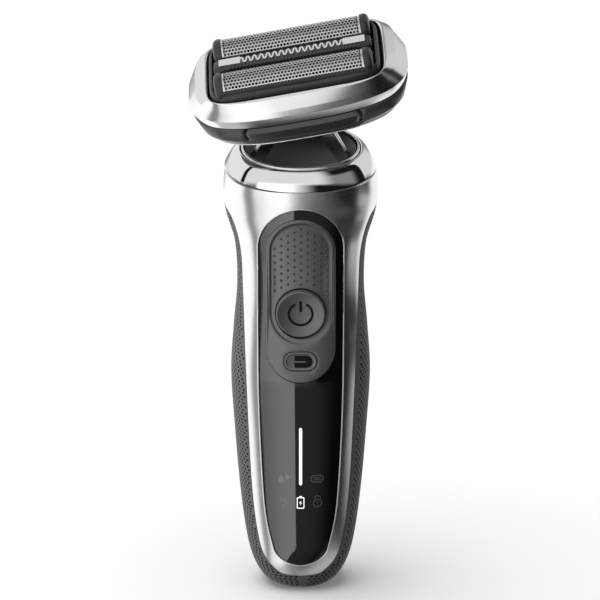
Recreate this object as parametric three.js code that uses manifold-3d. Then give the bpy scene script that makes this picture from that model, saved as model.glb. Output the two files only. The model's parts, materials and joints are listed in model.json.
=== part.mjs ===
// Foil shaver standing on its foot: handle, tilting neck linkage and a floating three-part head.
// Millimetres, +Z up, front of the shaver towards -Y. The origin is the centre of the flat foot.
import * as THREE from "three";
import { mergeVertices } from "three/addons/utils/BufferGeometryUtils.js";
import Module from "manifold-3d";

const wasm = await Module();
wasm.setup();

// ---- driving dimensions -------------------------------------------------------------------

const WALL = 2.2;
const GAP = 0.3;
const SECTION_POWER = 2.35;
const SECTION_POINTS = 28;
const RING_POINTS = 36;
const HEAD_POINTS = 40;

// Handle stations from foot to shoulder: height, half width, depth to the front, depth to the back.
const HANDLE = [
  [0, 7.6, 7, 7.4],
  [2.5, 10.9, 9.6, 10.1],
  [8, 13.9, 12, 12.6],
  [16, 15.8, 13.6, 14.3],
  [30, 17.5, 15.1, 15.8],
  [48, 18.9, 16.6, 17],
  [65, 19.8, 17.2, 17.5],
  [79, 18.9, 16.2, 16.6],
  [91, 17.9, 14.9, 15.7],
  [103, 18.5, 14.6, 15.7],
  [112, 21, 15.6, 16.8],
  [119, 21.7, 16.9, 17.7],
  [134, 19.6, 17.4, 17.4],
];

// Half width of the metal front seen from the front, from its lower tip to the shoulder.
const BEZEL_EDGE = [
  [5.7, 6],
  [9.6, 10],
  [12, 17],
  [13.9, 34],
  [15.3, 67],
  [16.1, 90],
  [16.7, 102],
  [19, 111],
  [23.5, 118],
];
const BEZEL_BOTTOM = 5.2;

const PANEL_RADIUS = 11.85;
const PANEL_TOP = 115.5;
const PANEL_BOTTOM = 8.9;
const PANEL_EDGE = [
  [7.6, 13.6],
  [9.9, 25],
  [11.1, 43],
  [11.8, 68],
];
const PANEL_INSET = 0.25;
const PANEL_BACK = 1.9;

const PLATE = { radius: 10, low: 65.5, high: 112.8 };
const RECESS = { radius: 8.5, low: 76.9, high: 111.4, depth: 0.55 };
const POWER = { z: 85.3, radius: 6.9, lean: 5, face: 15.5 };
const MODE = { z: 72, halfWidth: 4.6, radius: 2.7, face: 16.9 };
const LIGHT = { low: 34.7, high: 52.3, width: 0.9 };

const COLLAR_PITCH = 13.5;
const SEAM_Z = 124.6;
const COLLAR_HEIGHT = 5.5;
const PIVOT_HEIGHT = 23;
const HEAD_ROLL = 11;
const HEAD_PITCH = 11.5;
const ARM = { lean: 30, halfWidth: 1.8, halfDepth: 1.8, rib: 0.9, foot: -24.8 };

const FOIL = { y: 7.7, z: 10.5, radius: 4.15, sheet: 0.3, halfLength: 20.2 };
const CASSETTE = { halfWidth: 23.6, halfDepth: 12.9, low: 4.35, high: 11.2 };
const PIN_RADIUS = 0.95;
const BORE_RADIUS = 1.02;

// ---- solids -------------------------------------------------------------------------------

function solid(geometry) {
  const plain = geometry.index ? geometry.toNonIndexed() : geometry;
  const bare = new THREE.BufferGeometry();
  bare.setAttribute("position", plain.getAttribute("position"));
  const merged = mergeVertices(bare, 1e-4);
  return new wasm.Manifold(
    new wasm.Mesh({
      numProp: 3,
      vertProperties: merged.attributes.position.array,
      triVerts: new Uint32Array(merged.index.array),
    }),
  );
}

function geometryOf(body) {
  const mesh = body.getMesh();
  const geometry = new THREE.BufferGeometry();
  geometry.setAttribute("position", new THREE.BufferAttribute(mesh.vertProperties, 3));
  geometry.setIndex(new THREE.BufferAttribute(mesh.triVerts, 1));
  return geometry;
}

const join = (first, ...others) => others.reduce((sum, next) => sum.add(next), first);
const cut = (first, ...others) => others.reduce((rest, next) => rest.subtract(next), first);

// A skin through closed loops of equal length, capped at both ends.
function loft(loops) {
  const count = loops[0].length;
  const points = loops.flat();
  const faces = [];
  for (let row = 0; row + 1 < loops.length; row++) {
    for (let i = 0; i < count; i++) {
      const a = row * count + i;
      const b = row * count + ((i + 1) % count);
      faces.push([a, b, b + count], [a, b + count, a + count]);
    }
  }
  const caps = [
    [loops[0], 0, true],
    [loops.at(-1), (loops.length - 1) * count, false],
  ];
  for (const [loop, start, first] of caps) {
    const centre = loop.reduce((sum, p) => sum.add(p), new THREE.Vector3());
    points.push(centre.divideScalar(count));
    const hub = points.length - 1;
    for (let i = 0; i < count; i++) {
      const a = start + i;
      const b = start + ((i + 1) % count);
      faces.push(first ? [hub, b, a] : [hub, a, b]);
    }
  }
  const geometry = new THREE.BufferGeometry().setFromPoints(points);
  geometry.setIndex(faces.flat());
  return solid(geometry);
}

// Superellipse loop at one height, with its own depth in front (-Y) and behind (+Y).
function loop(z, halfWidth, front, back, power = SECTION_POWER, count = SECTION_POINTS) {
  const bend = (value) => Math.sign(value) * Math.abs(value) ** (2 / power);
  return Array.from({ length: count }, (_, i) => {
    const angle = ((i + 0.5) / count) * 2 * Math.PI;
    const y = bend(Math.sin(angle));
    return new THREE.Vector3(halfWidth * bend(Math.cos(angle)), y * (y < 0 ? front : back), z);
  });
}

const oval = (z, halfWidth, halfDepth, power, count) =>
  loop(z, halfWidth, halfDepth, halfDepth, power, count);

// An oval that is squarer behind than in front, and that rises towards the back.
function risingOval(z, rise, halfWidth, halfDepth, frontPower, backPower) {
  const front = oval(z, halfWidth, halfDepth, frontPower, HEAD_POINTS);
  const back = oval(z, halfWidth, halfDepth, backPower, HEAD_POINTS);
  const points = back.map((p, i) => (p.y > 0 ? p : front[i]));
  return points.map((p) => new THREE.Vector3(p.x, p.y, p.z + rise * p.y));
}

function box(x0, x1, y0, y1, z0, z1) {
  const geometry = new THREE.BoxGeometry(x1 - x0, y1 - y0, z1 - z0);
  return solid(geometry.translate((x0 + x1) / 2, (y0 + y1) / 2, (z0 + z1) / 2));
}

// A box with one corner radius in plan, standing on z0.
function slab(halfWidth, halfDepth, radius, z0, z1, x = 0, y = 0) {
  const shape = new THREE.Shape();
  const w = halfWidth - radius;
  const d = halfDepth - radius;
  shape.absarc(w, d, radius, 0, Math.PI / 2);
  shape.absarc(-w, d, radius, Math.PI / 2, Math.PI);
  shape.absarc(-w, -d, radius, Math.PI, 1.5 * Math.PI);
  shape.absarc(w, -d, radius, 1.5 * Math.PI, 2 * Math.PI);
  const geometry = extruded(shape, z1 - z0, 3);
  return solid(geometry.translate(x, y, z0));
}

function extruded(shape, depth, curveSegments) {
  return new THREE.ExtrudeGeometry(shape, { depth, curveSegments, bevelEnabled: false });
}

// A shape drawn in X and Z, extruded from yFront to yBack.
function upright(shape, yFront, yBack, curveSegments = 5) {
  const geometry = extruded(shape, yBack - yFront, curveSegments);
  return solid(geometry.rotateX(Math.PI / 2).translate(0, yBack, 0));
}

// A shape drawn in Y and Z, extruded along X.
function lengthwise(shape, x0, x1, curveSegments = 5) {
  const geometry = extruded(shape, x1 - x0, curveSegments);
  const turn = new THREE.Matrix4().makeBasis(
    new THREE.Vector3(0, 1, 0),
    new THREE.Vector3(0, 0, 1),
    new THREE.Vector3(1, 0, 0),
  );
  return solid(geometry.applyMatrix4(turn).translate(x0, 0, 0));
}

function cylinder(radius, from, to, sides = 24) {
  const start = new THREE.Vector3(...from);
  const along = new THREE.Vector3(...to).sub(start);
  const geometry = new THREE.CylinderGeometry(radius, radius, along.length(), sides);
  geometry.translate(0, along.length() / 2, 0);
  const turn = new THREE.Quaternion().setFromUnitVectors(
    new THREE.Vector3(0, 1, 0),
    along.clone().normalize(),
  );
  return solid(geometry.applyQuaternion(turn).translate(start.x, start.y, start.z));
}

const both = (make) => [-1, 1].map(make);

// ---- places -------------------------------------------------------------------------------

const degrees = THREE.MathUtils.degToRad;
const turnX = (angle) => new THREE.Matrix4().makeRotationX(degrees(angle));
const turnY = (angle) => new THREE.Matrix4().makeRotationY(degrees(angle));
const shift = (x, y, z) => new THREE.Matrix4().makeTranslation(x, y, z);
const chain = (...steps) => steps.reduce((all, step) => all.multiply(step), new THREE.Matrix4());

const atHandle = new THREE.Matrix4();
const atCollar = chain(shift(0, 0, SEAM_Z), turnX(COLLAR_PITCH));
const atPivot = chain(atCollar, shift(0, 0, PIVOT_HEIGHT));
const atRoll = chain(atPivot, turnY(-HEAD_ROLL));
const atHead = chain(atRoll, turnX(HEAD_PITCH));

const FINISH = {
  satin_metal: { color: 0xc9ccce, metalness: 0.9, roughness: 0.3 },
  chrome: { color: 0xd8dadc, metalness: 1, roughness: 0.08 },
  steel: { color: 0xb9bcc0, metalness: 0.9, roughness: 0.35 },
  gold: { color: 0xc9a24a, metalness: 1, roughness: 0.3 },
  copper: { color: 0xb06a3c, metalness: 0.8, roughness: 0.4 },
  rubber: { color: 0x35373a, metalness: 0, roughness: 0.85 },
  black_gloss: { color: 0x0b0c0d, metalness: 0, roughness: 0.08 },
  charcoal: { color: 0x26282a, metalness: 0, roughness: 0.45 },
  grey_matte: { color: 0x57595c, metalness: 0, roughness: 0.6 },
  light: { color: 0xf4f6f8, metalness: 0, roughness: 0.3 },
  board: { color: 0x1f5a36, metalness: 0, roughness: 0.5 },
  cell: { color: 0x3c6fa8, metalness: 0.2, roughness: 0.4 },
};

const shaver = new THREE.Group();

function place(name, body, place, finish) {
  const mesh = new THREE.Mesh(
    geometryOf(body),
    new THREE.MeshStandardMaterial(FINISH[finish]),
  );
  mesh.name = name;
  mesh.applyMatrix4(place);
  shaver.add(mesh);
}

// ---- handle shells ------------------------------------------------------------------------

// Smooth value of one column of the stations at a height: cubic with slopes from the neighbours.
function station(z, column) {
  const passed = HANDLE.filter((row) => row[0] <= z).length;
  const row = Math.min(HANDLE.length - 2, passed - 1);
  const [a, b] = [HANDLE[row], HANDLE[row + 1]];
  const slope = (i) => {
    const before = HANDLE[Math.max(0, i - 1)];
    const after = HANDLE[Math.min(HANDLE.length - 1, i + 1)];
    return (after[column] - before[column]) / (after[0] - before[0]);
  };
  const span = b[0] - a[0];
  const t = (z - a[0]) / span;
  const startBulge = row === 0 ? 1.5 : slope(row);
  return (
    (2 * t ** 3 - 3 * t ** 2 + 1) * a[column] +
    (t ** 3 - 2 * t ** 2 + t) * span * startBulge +
    (3 * t ** 2 - 2 * t ** 3) * b[column] +
    (t ** 3 - t ** 2) * span * slope(row + 1)
  );
}

// The whole handle as one solid, drawn in by an inset on every side.
function handle(inset) {
  const heights = [0, 0.9, 2.5, 5, 8, 12, 20, 30, 42, 54, 65, 74, 82, 91, 99];
  heights.push(106, 112, 115.5, 119, 134);
  return loft(
    heights.map((z) => {
      const level = z < 2 * inset ? inset + z / 2 : z;
      const sizes = [1, 2, 3].map((column) => station(z, column) - inset);
      return loop(level, ...sizes);
    }),
  );
}

// Everything above the tilted seam plane, raised by an offset along the collar's own axis.
function aboveSeam(offset) {
  const block = new THREE.BoxGeometry(80, 80, 60).translate(0, 0, 30 + offset);
  return solid(block.applyMatrix4(atCollar));
}

// Outline mirrored about the centre line from its right-hand edge points.
function bezelShape(grow) {
  const right = BEZEL_EDGE.map(([x, z]) => new THREE.Vector2(x + grow, z - grow * 0.4));
  const left = right.map((p) => new THREE.Vector2(-p.x, p.y)).reverse();
  const bottom = BEZEL_BOTTOM - grow;
  const shape = new THREE.Shape();
  shape.moveTo(0, bottom);
  shape.quadraticCurveTo(3.2, bottom, right[0].x, right[0].y);
  shape.splineThru(right.slice(1));
  shape.lineTo(40, 140);
  shape.lineTo(-40, 140);
  shape.lineTo(left[0].x, left[0].y);
  shape.splineThru(left.slice(1));
  shape.quadraticCurveTo(-3.2, bottom, 0, bottom);
  return shape;
}

function panelShape(grow) {
  const right = PANEL_EDGE.map(([x, z]) => new THREE.Vector2(x + grow, z));
  const left = right.map((p) => new THREE.Vector2(-p.x, p.y)).reverse();
  const radius = PANEL_RADIUS + grow;
  const centre = PANEL_TOP - PANEL_RADIUS;
  const bottom = PANEL_BOTTOM - grow;
  const shape = new THREE.Shape();
  shape.moveTo(0, bottom);
  shape.bezierCurveTo(3, bottom, 6.2 + grow, bottom + 1.6, right[0].x, right[0].y);
  shape.splineThru([...right.slice(1), new THREE.Vector2(radius, centre)]);
  shape.absarc(0, centre, radius, 0, Math.PI);
  shape.splineThru(left);
  shape.bezierCurveTo(-6.2 - grow, bottom + 1.6, -3, bottom, 0, bottom);
  return shape;
}

function pill({ radius, low, high }, grow = 0) {
  const shape = new THREE.Shape();
  shape.absarc(0, high - radius, radius + grow, 0, Math.PI);
  shape.absarc(0, low + radius, radius + grow, Math.PI, 2 * Math.PI);
  return shape;
}

function modePill(grow) {
  const shape = new THREE.Shape();
  const reach = MODE.halfWidth - MODE.radius;
  shape.absarc(reach, MODE.z, MODE.radius + grow, -Math.PI / 2, Math.PI / 2);
  shape.absarc(-reach, MODE.z, MODE.radius + grow, Math.PI / 2, 1.5 * Math.PI);
  return shape;
}

const outer = handle(0);
const inner = handle(WALL);

const SOCKET = { y: 3.7, halfWidth: 4.3, halfDepth: 3, radius: 2.3 };
const CONTACT = { x: 4, z: 19, radius: 1.6 };

// Round bar through the back wall at one of the two contacts.
function contactBar(side, radius, from, to) {
  const x = side * CONTACT.x;
  return cylinder(radius, [x, from, CONTACT.z], [x, to, CONTACT.z], 16);
}

function socketWell(grow, low, high) {
  const { y, halfWidth, halfDepth, radius } = SOCKET;
  return slab(halfWidth + grow, halfDepth + grow, radius + grow / 2, low, high, 0, y);
}

// The region the metal front fills: its outline, ending behind in a line that sweeps back.
function frontZone(gap) {
  const side = new THREE.Shape();
  side.moveTo(-40, -10);
  side.lineTo(-1 - gap, -10);
  side.lineTo(-1 - gap, 104);
  side.quadraticCurveTo(-gap, 116, 9 - gap, 127);
  side.lineTo(12 - gap, 140);
  side.lineTo(-40, 140);
  return upright(bezelShape(-gap), -40, 20, 3).intersect(lengthwise(side, -40, 40));
}

function gripShell() {
  const front = frontZone(0);
  const contacts = both((side) => contactBar(side, CONTACT.radius + GAP, 5, 20));
  return cut(outer, inner, front, aboveSeam(0), socketWell(0, -1, 4), ...contacts);
}

function frontBezel() {
  const front = frontZone(GAP);
  const opening = upright(panelShape(0), -40, 0);
  return cut(outer.intersect(front), inner, opening, aboveSeam(0));
}

function displayPanel() {
  const shape = upright(panelShape(-GAP), -40, 0);
  const hole = upright(pill(PLATE), -40, 0);
  const slot = box(-LIGHT.width / 2, LIGHT.width / 2, -40, 0, LIGHT.low, LIGHT.high);
  return cut(handle(PANEL_INSET).intersect(shape), handle(PANEL_BACK), hole, slot);
}

function lightBar() {
  const half = LIGHT.width / 2 - 0.12;
  const bar = box(-half, half, -40, 0, LIGHT.low + 0.15, LIGHT.high - 0.15);
  return cut(handle(0.35).intersect(bar), handle(PANEL_BACK));
}

function leaning(body, z, face, lean) {
  const turn = chain(shift(0, -face, z), turnX(lean));
  return solid(geometryOf(body).applyMatrix4(turn));
}

function powerHole() {
  const bar = cylinder(POWER.radius + GAP, [0, -4, 0], [0, 8, 0], 32);
  return leaning(bar, POWER.z, POWER.face, POWER.lean);
}

function buttonPlate() {
  const blank = cut(
    handle(0.1).intersect(upright(pill(PLATE, -GAP), -40, 0)),
    handle(PANEL_BACK),
  );
  const pocket = cut(upright(pill(RECESS), -40, 0), handle(0.1 + RECESS.depth));
  return cut(blank, pocket, powerHole(), upright(modePill(GAP), -40, 0));
}

function powerButton() {
  const disc = cylinder(POWER.radius, [0, 0, 0], [0, 1.7, 0], 32);
  const stem = cylinder(1.4, [0, 1.5, 0], [0, 2.5, 0], 16);
  const dish = cylinder(POWER.radius - 1.5, [0, -1, 0], [0, 0.25, 0], 32);
  return leaning(join(cut(disc, dish), stem), POWER.z, POWER.face, POWER.lean);
}

function modeButton() {
  const cap = upright(modePill(0), -MODE.face, -MODE.face + 1.8, 6);
  const groove = box(-0.35, 0.35, -20, -MODE.face + 0.3, MODE.z - 0.4, MODE.z + 1.9);
  const stem = cylinder(0.9, [0, -15.3, MODE.z], [0, -14.6, MODE.z], 12);
  return join(cut(cap, groove), stem);
}

// ---- inside the handle --------------------------------------------------------------------

const BOARD = { halfWidth: 8, front: -10.8, back: -9.6, low: 33, high: 108 };
const CELL = { radius: 7.2, y: 3.2, low: 36, high: 86 };
const SCREWS = [
  [-8.3, 30],
  [8.3, 30],
  [-8.3, 111],
  [8.3, 111],
];

function chassis() {
  const spine = box(-11.6, 11.6, -7.6, -6.2, 25, 114);
  const cradles = [39, 83].map((z) => {
    const room = cylinder(CELL.radius + GAP, [0, CELL.y, z - 2], [0, CELL.y, z + 2]);
    return cut(box(-10, 10, -6.4, 4, z - 1.5, z + 1.5), room);
  });
  const posts = SCREWS.map(([x, z]) => cylinder(2, [x, -7, z], [x, -9, z], 12));
  const holes = SCREWS.map(([x, z]) => cylinder(1.2, [x, -5, z], [x, -12, z], 12));
  return cut(join(spine, ...cradles, ...posts), ...holes);
}

function circuitBoard() {
  return box(-BOARD.halfWidth, BOARD.halfWidth, BOARD.front, BOARD.back, BOARD.low, BOARD.high);
}

function batteryCell() {
  const can = cylinder(CELL.radius, [0, CELL.y, CELL.low], [0, CELL.y, CELL.high], 24);
  return join(can, cylinder(2.4, [0, CELL.y, CELL.high - 1], [0, CELL.y, CELL.high + 1], 16));
}

function batteryTab(low) {
  const leaf = box(-3, 3, -5.6, CELL.y + 2, low, low + 0.5);
  return join(leaf, box(-3, 3, -5.9, -5.4, low - 2, low + 2.1));
}

function tactSwitch(z, front) {
  const half = 3;
  const body = box(-half, half, front + 0.6, BOARD.front - 0.1, z - half, z + half);
  return join(body, cylinder(1.2, [0, front, z], [0, front + 1, z], 12));
}

function screw([x, z]) {
  const head = cylinder(1.9, [x, -10.4, z], [x, -9.2, z], 16);
  const shank = cylinder(1, [x, -9.4, z], [x, -5.2, z], 12);
  const across = box(x - 1.3, x + 1.3, -11, -9.9, z - 0.25, z + 0.25);
  return cut(join(head, shank), across);
}

const chargingSocket = () => cut(socketWell(1.2, 4.2, 13.4), socketWell(0, 2, 11.6));

function socketPin(side) {
  return cylinder(0.75, [side * 2.1, SOCKET.y, 7.4], [side * 2.1, SOCKET.y, 11.4], 12);
}

function rearContact(side) {
  const surface = station(CONTACT.z, 3) - 0.75;
  return contactBar(side, CONTACT.radius, surface - 2.6, surface);
}

// ---- collar and neck, in the collar's own frame -------------------------------------------

// A skin through nearly elliptical rings, each given as height, half width and half depth.
const rings = (rows) => loft(rows.map((row) => oval(...row, 2.1, RING_POINTS)));

function ringBore(halfWidth, halfDepth) {
  return rings([
    [-3, halfWidth, halfDepth],
    [8, halfWidth, halfDepth],
  ]);
}

function collarRing() {
  const shell = rings([
    [GAP, 20.5, 17.5],
    [1.6, 20.2, 17.2],
    [3.2, 19.4, 16.6],
    [4.6, 18.3, 15.6],
    [COLLAR_HEIGHT - 0.1, 17.3, 14.8],
  ]);
  return cut(shell, ringBore(16.9, 14.4));
}

function collarBevel() {
  const rim = rings([
    [2.2, 16.6, 14.1],
    [COLLAR_HEIGHT, 16.6, 14.1],
    [COLLAR_HEIGHT + 0.35, 16.3, 13.8],
  ]);
  return cut(rim, ringBore(15.9, 13.4));
}

// One leaning bar per side, in the pivot's frame, running down to below the arms' feet.
function armBars(halfWidth, halfDepth, top, ribRadius) {
  return both((side) => {
    const reach = ARM.foot * 1.2;
    const plate = box(-halfWidth, halfWidth, -halfDepth, halfDepth, reach, top);
    const rib = cylinder(ribRadius, [side * 1.1, 0, reach], [side * 1.1, 0, top - 3], 16);
    return solid(geometryOf(join(plate, rib)).applyMatrix4(turnY(-side * ARM.lean)));
  });
}

function neckDish() {
  const bowl = rings([
    [-1.4, 3, 2.5],
    [-1.1, 9, 7.6],
    [0.2, 13, 10.9],
    [2.6, 15.6, 13.1],
    [5, 15.6, 13.1],
    [3.4, 14.3, 11.9],
    [1.6, 11.6, 9.6],
    [0.5, 7.6, 6.2],
    [0.1, 3, 2.5],
  ]);
  const slots = armBars(ARM.halfWidth + 0.5, ARM.halfDepth + 0.4, -4, ARM.rib + 0.4);
  return cut(bowl, ...slots.map((slot) => slot.translate(0, 0, PIVOT_HEIGHT)));
}

function sealRing() {
  const ring = rings([
    [-1.6, 17.8, 15.2],
    [-0.4, 17.8, 15.2],
  ]);
  return cut(ring, ringBore(16.7, 14.1));
}

// Block under the dish that the feet of the two arms stand on, with a hole for the wires.
function neckMount() {
  const block = slab(16.4, 6.4, 2, -7.5, ARM.foot + PIVOT_HEIGHT - GAP);
  return cut(block, cylinder(2.5, [0, 0, -9], [0, 0, 0], 16));
}

// Two arms that lean in from the neck to one block, bored fore and aft for the roll pin.
function neckYoke() {
  const { halfWidth, halfDepth, foot, rib } = ARM;
  const bars = armBars(halfWidth, halfDepth, -1, rib);
  const hub = cylinder(1.9, [0, -halfDepth, 0], [0, halfDepth, 0]);
  const neck = box(-1.9, 1.9, -halfDepth, halfDepth, -4, 0);
  const crown = cut(box(-9, 9, -9, 9, 0, 6), hub);
  const bore = cylinder(BORE_RADIUS, [0, -9, 0], [0, 9, 0]);
  return cut(join(hub, neck, ...bars), crown, bore, box(-30, 30, -9, 9, foot - 20, foot));
}

const GIMBAL = { halfWidth: 7.2, inside: 5.7, halfDepth: 3.5, halfHeight: 1.6 };

function gimbalFrame() {
  const { halfWidth, inside, halfDepth, halfHeight } = GIMBAL;
  const ring = slab(halfWidth, halfDepth, 1, -halfHeight, halfHeight);
  const window = box(-inside, inside, -ARM.halfDepth - 0.3, ARM.halfDepth + 0.3, -4, 4);
  const rollBore = cylinder(BORE_RADIUS, [0, -9, 0], [0, 9, 0]);
  return cut(ring, window, rollBore, cylinder(BORE_RADIUS, [-9, 0, 0], [9, 0, 0]));
}

const rollPin = () => cylinder(PIN_RADIUS, [0, -3.4, 0], [0, 3.4, 0]);
const pitchPin = (side) => cylinder(PIN_RADIUS, [side * 5.9, 0, 0], [side * 13.6, 0, 0]);

// ---- head, in the head's own frame --------------------------------------------------------

const ROUND = 2.9;

function headRing() {
  const shell = loft([
    risingOval(1.4, 0, 29.6, 16.1, 2.9, 3.2),
    risingOval(4.5, 0.03, 30.4, 16.2, 2.9, 3.6),
    risingOval(7.2, 0.1, 28, 15.5, 3.3, 5.5),
    risingOval(9.2, 0.05, 25.8, 14.2, 4.2, 7),
    risingOval(9.6, 0.045, 25, 13.7, 4.8, 8),
  ]);
  return cut(shell, slab(24, 13.2, 4.6, 0, 14));
}

function tub(inset, low, high) {
  return loft([
    oval(low, 22.9 - inset, 12.5 - inset, ROUND, HEAD_POINTS),
    oval(low + 1.1, 26.1 - inset, 14.8 - inset, ROUND, HEAD_POINTS),
    oval(low + 3.4, 28.2 - inset, 15.9 - inset, ROUND, HEAD_POINTS),
    oval(high, 29.2 - inset, 16 - inset, ROUND, HEAD_POINTS),
  ]);
}

const TUB_LOW = -6.5;
const TUB_HIGH = 1.1;
const TUB_WALL = 2.4;
const TAB = { halfWidth: 15.7, low: -3.6, high: 2.6, lip: 16.7 };

function tabZone(side, grow) {
  const y = [side * 8, side * 20].sort((a, b) => a - b);
  const half = TAB.halfWidth + grow;
  return box(-half, half, ...y, TAB.low - grow, TAB.high + grow);
}

function headBase() {
  const shell = cut(tub(0, TUB_LOW, TUB_HIGH), tub(TUB_WALL, TUB_LOW + 1.4, TUB_HIGH + 1));
  const opening = slab(10.5, 4.7, 1.5, -9, TUB_LOW + 1.6);
  const bosses = both((side) => {
    const x = [side * 10.8, side * 14.2].sort((a, b) => a - b);
    return box(...x, -2.6, 2.6, TUB_LOW + 1, 1.7);
  });
  const bores = cylinder(BORE_RADIUS, [-15, 0, 0], [15, 0, 0]);
  const pockets = both((side) => cut(tabZone(side, GAP), tub(1.6, TUB_LOW, TUB_HIGH + 4)));
  return cut(join(shell, ...bosses), bores, opening, ...pockets);
}

// Tab set into the tub's wall, with a lip that stands in front of the ring above it.
function releaseTab(side) {
  const proud = loft([
    oval(TUB_LOW, 24, 13.1, ROUND, HEAD_POINTS),
    oval(TUB_LOW + 1.1, 26.6, 15.3, ROUND, HEAD_POINTS),
    oval(TUB_LOW + 3.4, 28.8, 16.5, ROUND, HEAD_POINTS),
    oval(TUB_HIGH, 29.8, 17.3, ROUND, HEAD_POINTS),
    oval(TAB.high, 29.4, 17.1, ROUND, HEAD_POINTS),
  ]);
  const ringRoom = box(-40, 40, -TAB.lip, TAB.lip, TUB_HIGH, 8);
  return cut(tabZone(side, 0).intersect(proud), tub(0.7, TUB_LOW, TUB_HIGH + 4), ringRoom);
}

function headDeck() {
  const plate = slab(23.6, 12.8, 4.4, 3.55, 4.05);
  const slots = [-FOIL.y, 0, FOIL.y].map((y) => slab(3, 1.7, 0.8, 1, 5, 0, y));
  return cut(plate, ...slots);
}

const MOTOR = { near: 14.7, far: 20.8, halfDepth: 6.6, low: -4.4, high: 1.6 };

function motorStator(side) {
  const x = [side * MOTOR.near, side * MOTOR.far].sort((a, b) => a - b);
  const core = box(...x, -MOTOR.halfDepth, MOTOR.halfDepth, MOTOR.low, MOTOR.high);
  const poles = both((end) => box(x[0] - 1, x[1] + 1, end * 3.6 - 1.3, end * 3.6 + 1.3, -2, 4));
  return cut(core, ...poles);
}

// Sliding frame over both motors: two long bars for the foil cutters and one for the trimmer.
const ARMATURE = { halfWidth: 21, halfDepth: 9.4, low: 2.75, high: 3.3 };

function driveArmature() {
  const plate = slab(ARMATURE.halfWidth, ARMATURE.halfDepth, 2, ARMATURE.low, ARMATURE.high);
  const windows = both((side) => slab(18.5, 2, 1, 0, 6, 0, side * 3.6));
  return cut(plate, ...windows);
}

const drivePin = (y) => cylinder(0.9, [0, y, ARMATURE.high + 0.1], [0, y, 8.9], 16);

// ---- cassette -----------------------------------------------------------------------------

const BAY = { halfWidth: 22.1, near: 3.25, far: 12.15, middle: 2.7 };
const FLOAT_BASE = 7.2;

function cassetteFrame() {
  const { halfWidth, halfDepth, low, high } = CASSETTE;
  const square = (z, inset) => oval(z, halfWidth - inset, halfDepth - inset, 7, HEAD_POINTS);
  const shell = loft([square(low, 0.3), square(low + 0.6, 0), square(high - 1.2, 0), square(high, 0.5)]);
  const floor = low + 0.8;
  const bayDepth = (BAY.far - BAY.near) / 2;
  const bays = both((side) =>
    slab(BAY.halfWidth, bayDepth, 0.25, floor, 20, 0, side * (BAY.near + bayDepth)),
  );
  const middle = slab(BAY.halfWidth, BAY.middle, 0.25, floor, 20);
  const slots = [-FOIL.y, 0, FOIL.y].map((y) => slab(3, 1.7, 0.8, 0, 8, 0, y));
  return cut(shell, ...bays, middle, ...slots);
}

// Half-round outline in Y and Z with straight skirts down to a base.
function archShape(y, z, radius, base) {
  const shape = new THREE.Shape();
  shape.moveTo(y + radius, base);
  shape.absarc(y, z, radius, 0, Math.PI);
  shape.lineTo(y - radius, base);
  return shape;
}

function foilSheet(y) {
  const skirt = 7.6;
  const { z, radius, halfLength, sheet } = FOIL;
  const skin = lengthwise(archShape(y, z, radius, skirt), -halfLength, halfLength, 7);
  const core = lengthwise(archShape(y, z, radius - sheet, skirt - 1), -30, 30, 7);
  return cut(skin, core);
}

// End blocks and a narrow frame between them, with room for the bent sheet on both sides.
function foilCarrier(y) {
  const { z, radius, halfLength, sheet } = FOIL;
  const reach = BAY.halfWidth - GAP;
  const blank = lengthwise(archShape(y, z, radius - 0.1, FLOAT_BASE), -reach, reach, 6);
  const clear = halfLength + 0.25;
  const over = box(-clear, clear, y - 6, y + 6, 8.1, 20);
  const inside = box(-19.9, 19.9, y - 2.9, y + 2.9, 0, 20);
  const sides = both((side) => {
    const faces = [y + side * (radius - sheet - GAP), y + side * 6].sort((a, b) => a - b);
    return box(-clear, clear, ...faces, 7.3, 20);
  });
  return cut(blank, over, inside, ...sides);
}

const CUTTER = { radius: 3.65, halfLength: 18.4, blades: 9 };

function foilCutter(y) {
  const { radius, halfLength, blades } = CUTTER;
  const low = 8.5;
  const spine = box(-halfLength, halfLength, y - 1.8, y + 1.8, FLOAT_BASE + 0.6, 12.4);
  const pitch = (2 * halfLength - 1) / (blades - 1);
  const plates = Array.from({ length: blades }, (_, i) => {
    const x = -halfLength + i * pitch;
    return lengthwise(archShape(y, FOIL.z, radius, low), x, x + 1, 4);
  });
  const socket = cylinder(1.1, [0, y, 4], [0, y, 10.6], 16);
  return cut(join(spine, ...plates), socket);
}

function trimmerCarrier() {
  const section = new THREE.Shape();
  section.moveTo(-2.4, FLOAT_BASE);
  section.lineTo(2.4, FLOAT_BASE);
  section.lineTo(2.4, 11.8);
  section.quadraticCurveTo(2.3, 12.9, 1.5, 13.1);
  section.lineTo(-1.5, 13.1);
  section.quadraticCurveTo(-2.3, 12.9, -2.4, 11.8);
  const bar = lengthwise(section, -BAY.halfWidth + GAP, BAY.halfWidth - GAP, 4);
  const groove = box(-16.6, 16.6, -1.35, 1.35, 11.4, 16);
  const drive = slab(3, 1.5, 0.6, 5, 16);
  return cut(bar, groove, drive);
}

const trimmerComb = () => toothedStrip(20.3, 1.5, 18, 28, 13.35, 13.8);

// Toothed strip: a bar with notches cut from both long edges along the middle.
function toothedStrip(halfLength, halfDepth, teeth, toothSpan, low, high) {
  const bar = box(-halfLength, halfLength, -halfDepth, halfDepth, low, high);
  const pitch = toothSpan / teeth;
  const notches = Array.from({ length: teeth }, (_, i) => {
    const x = -toothSpan / 2 + (i + 0.5) * pitch;
    return both((side) => {
      const y = [side * halfDepth * 0.2, side * halfDepth * 1.5].sort((a, b) => a - b);
      return box(x - pitch * 0.27, x + pitch * 0.27, ...y, low - 1, high + 1);
    });
  }).flat();
  return cut(bar, ...notches);
}

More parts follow.
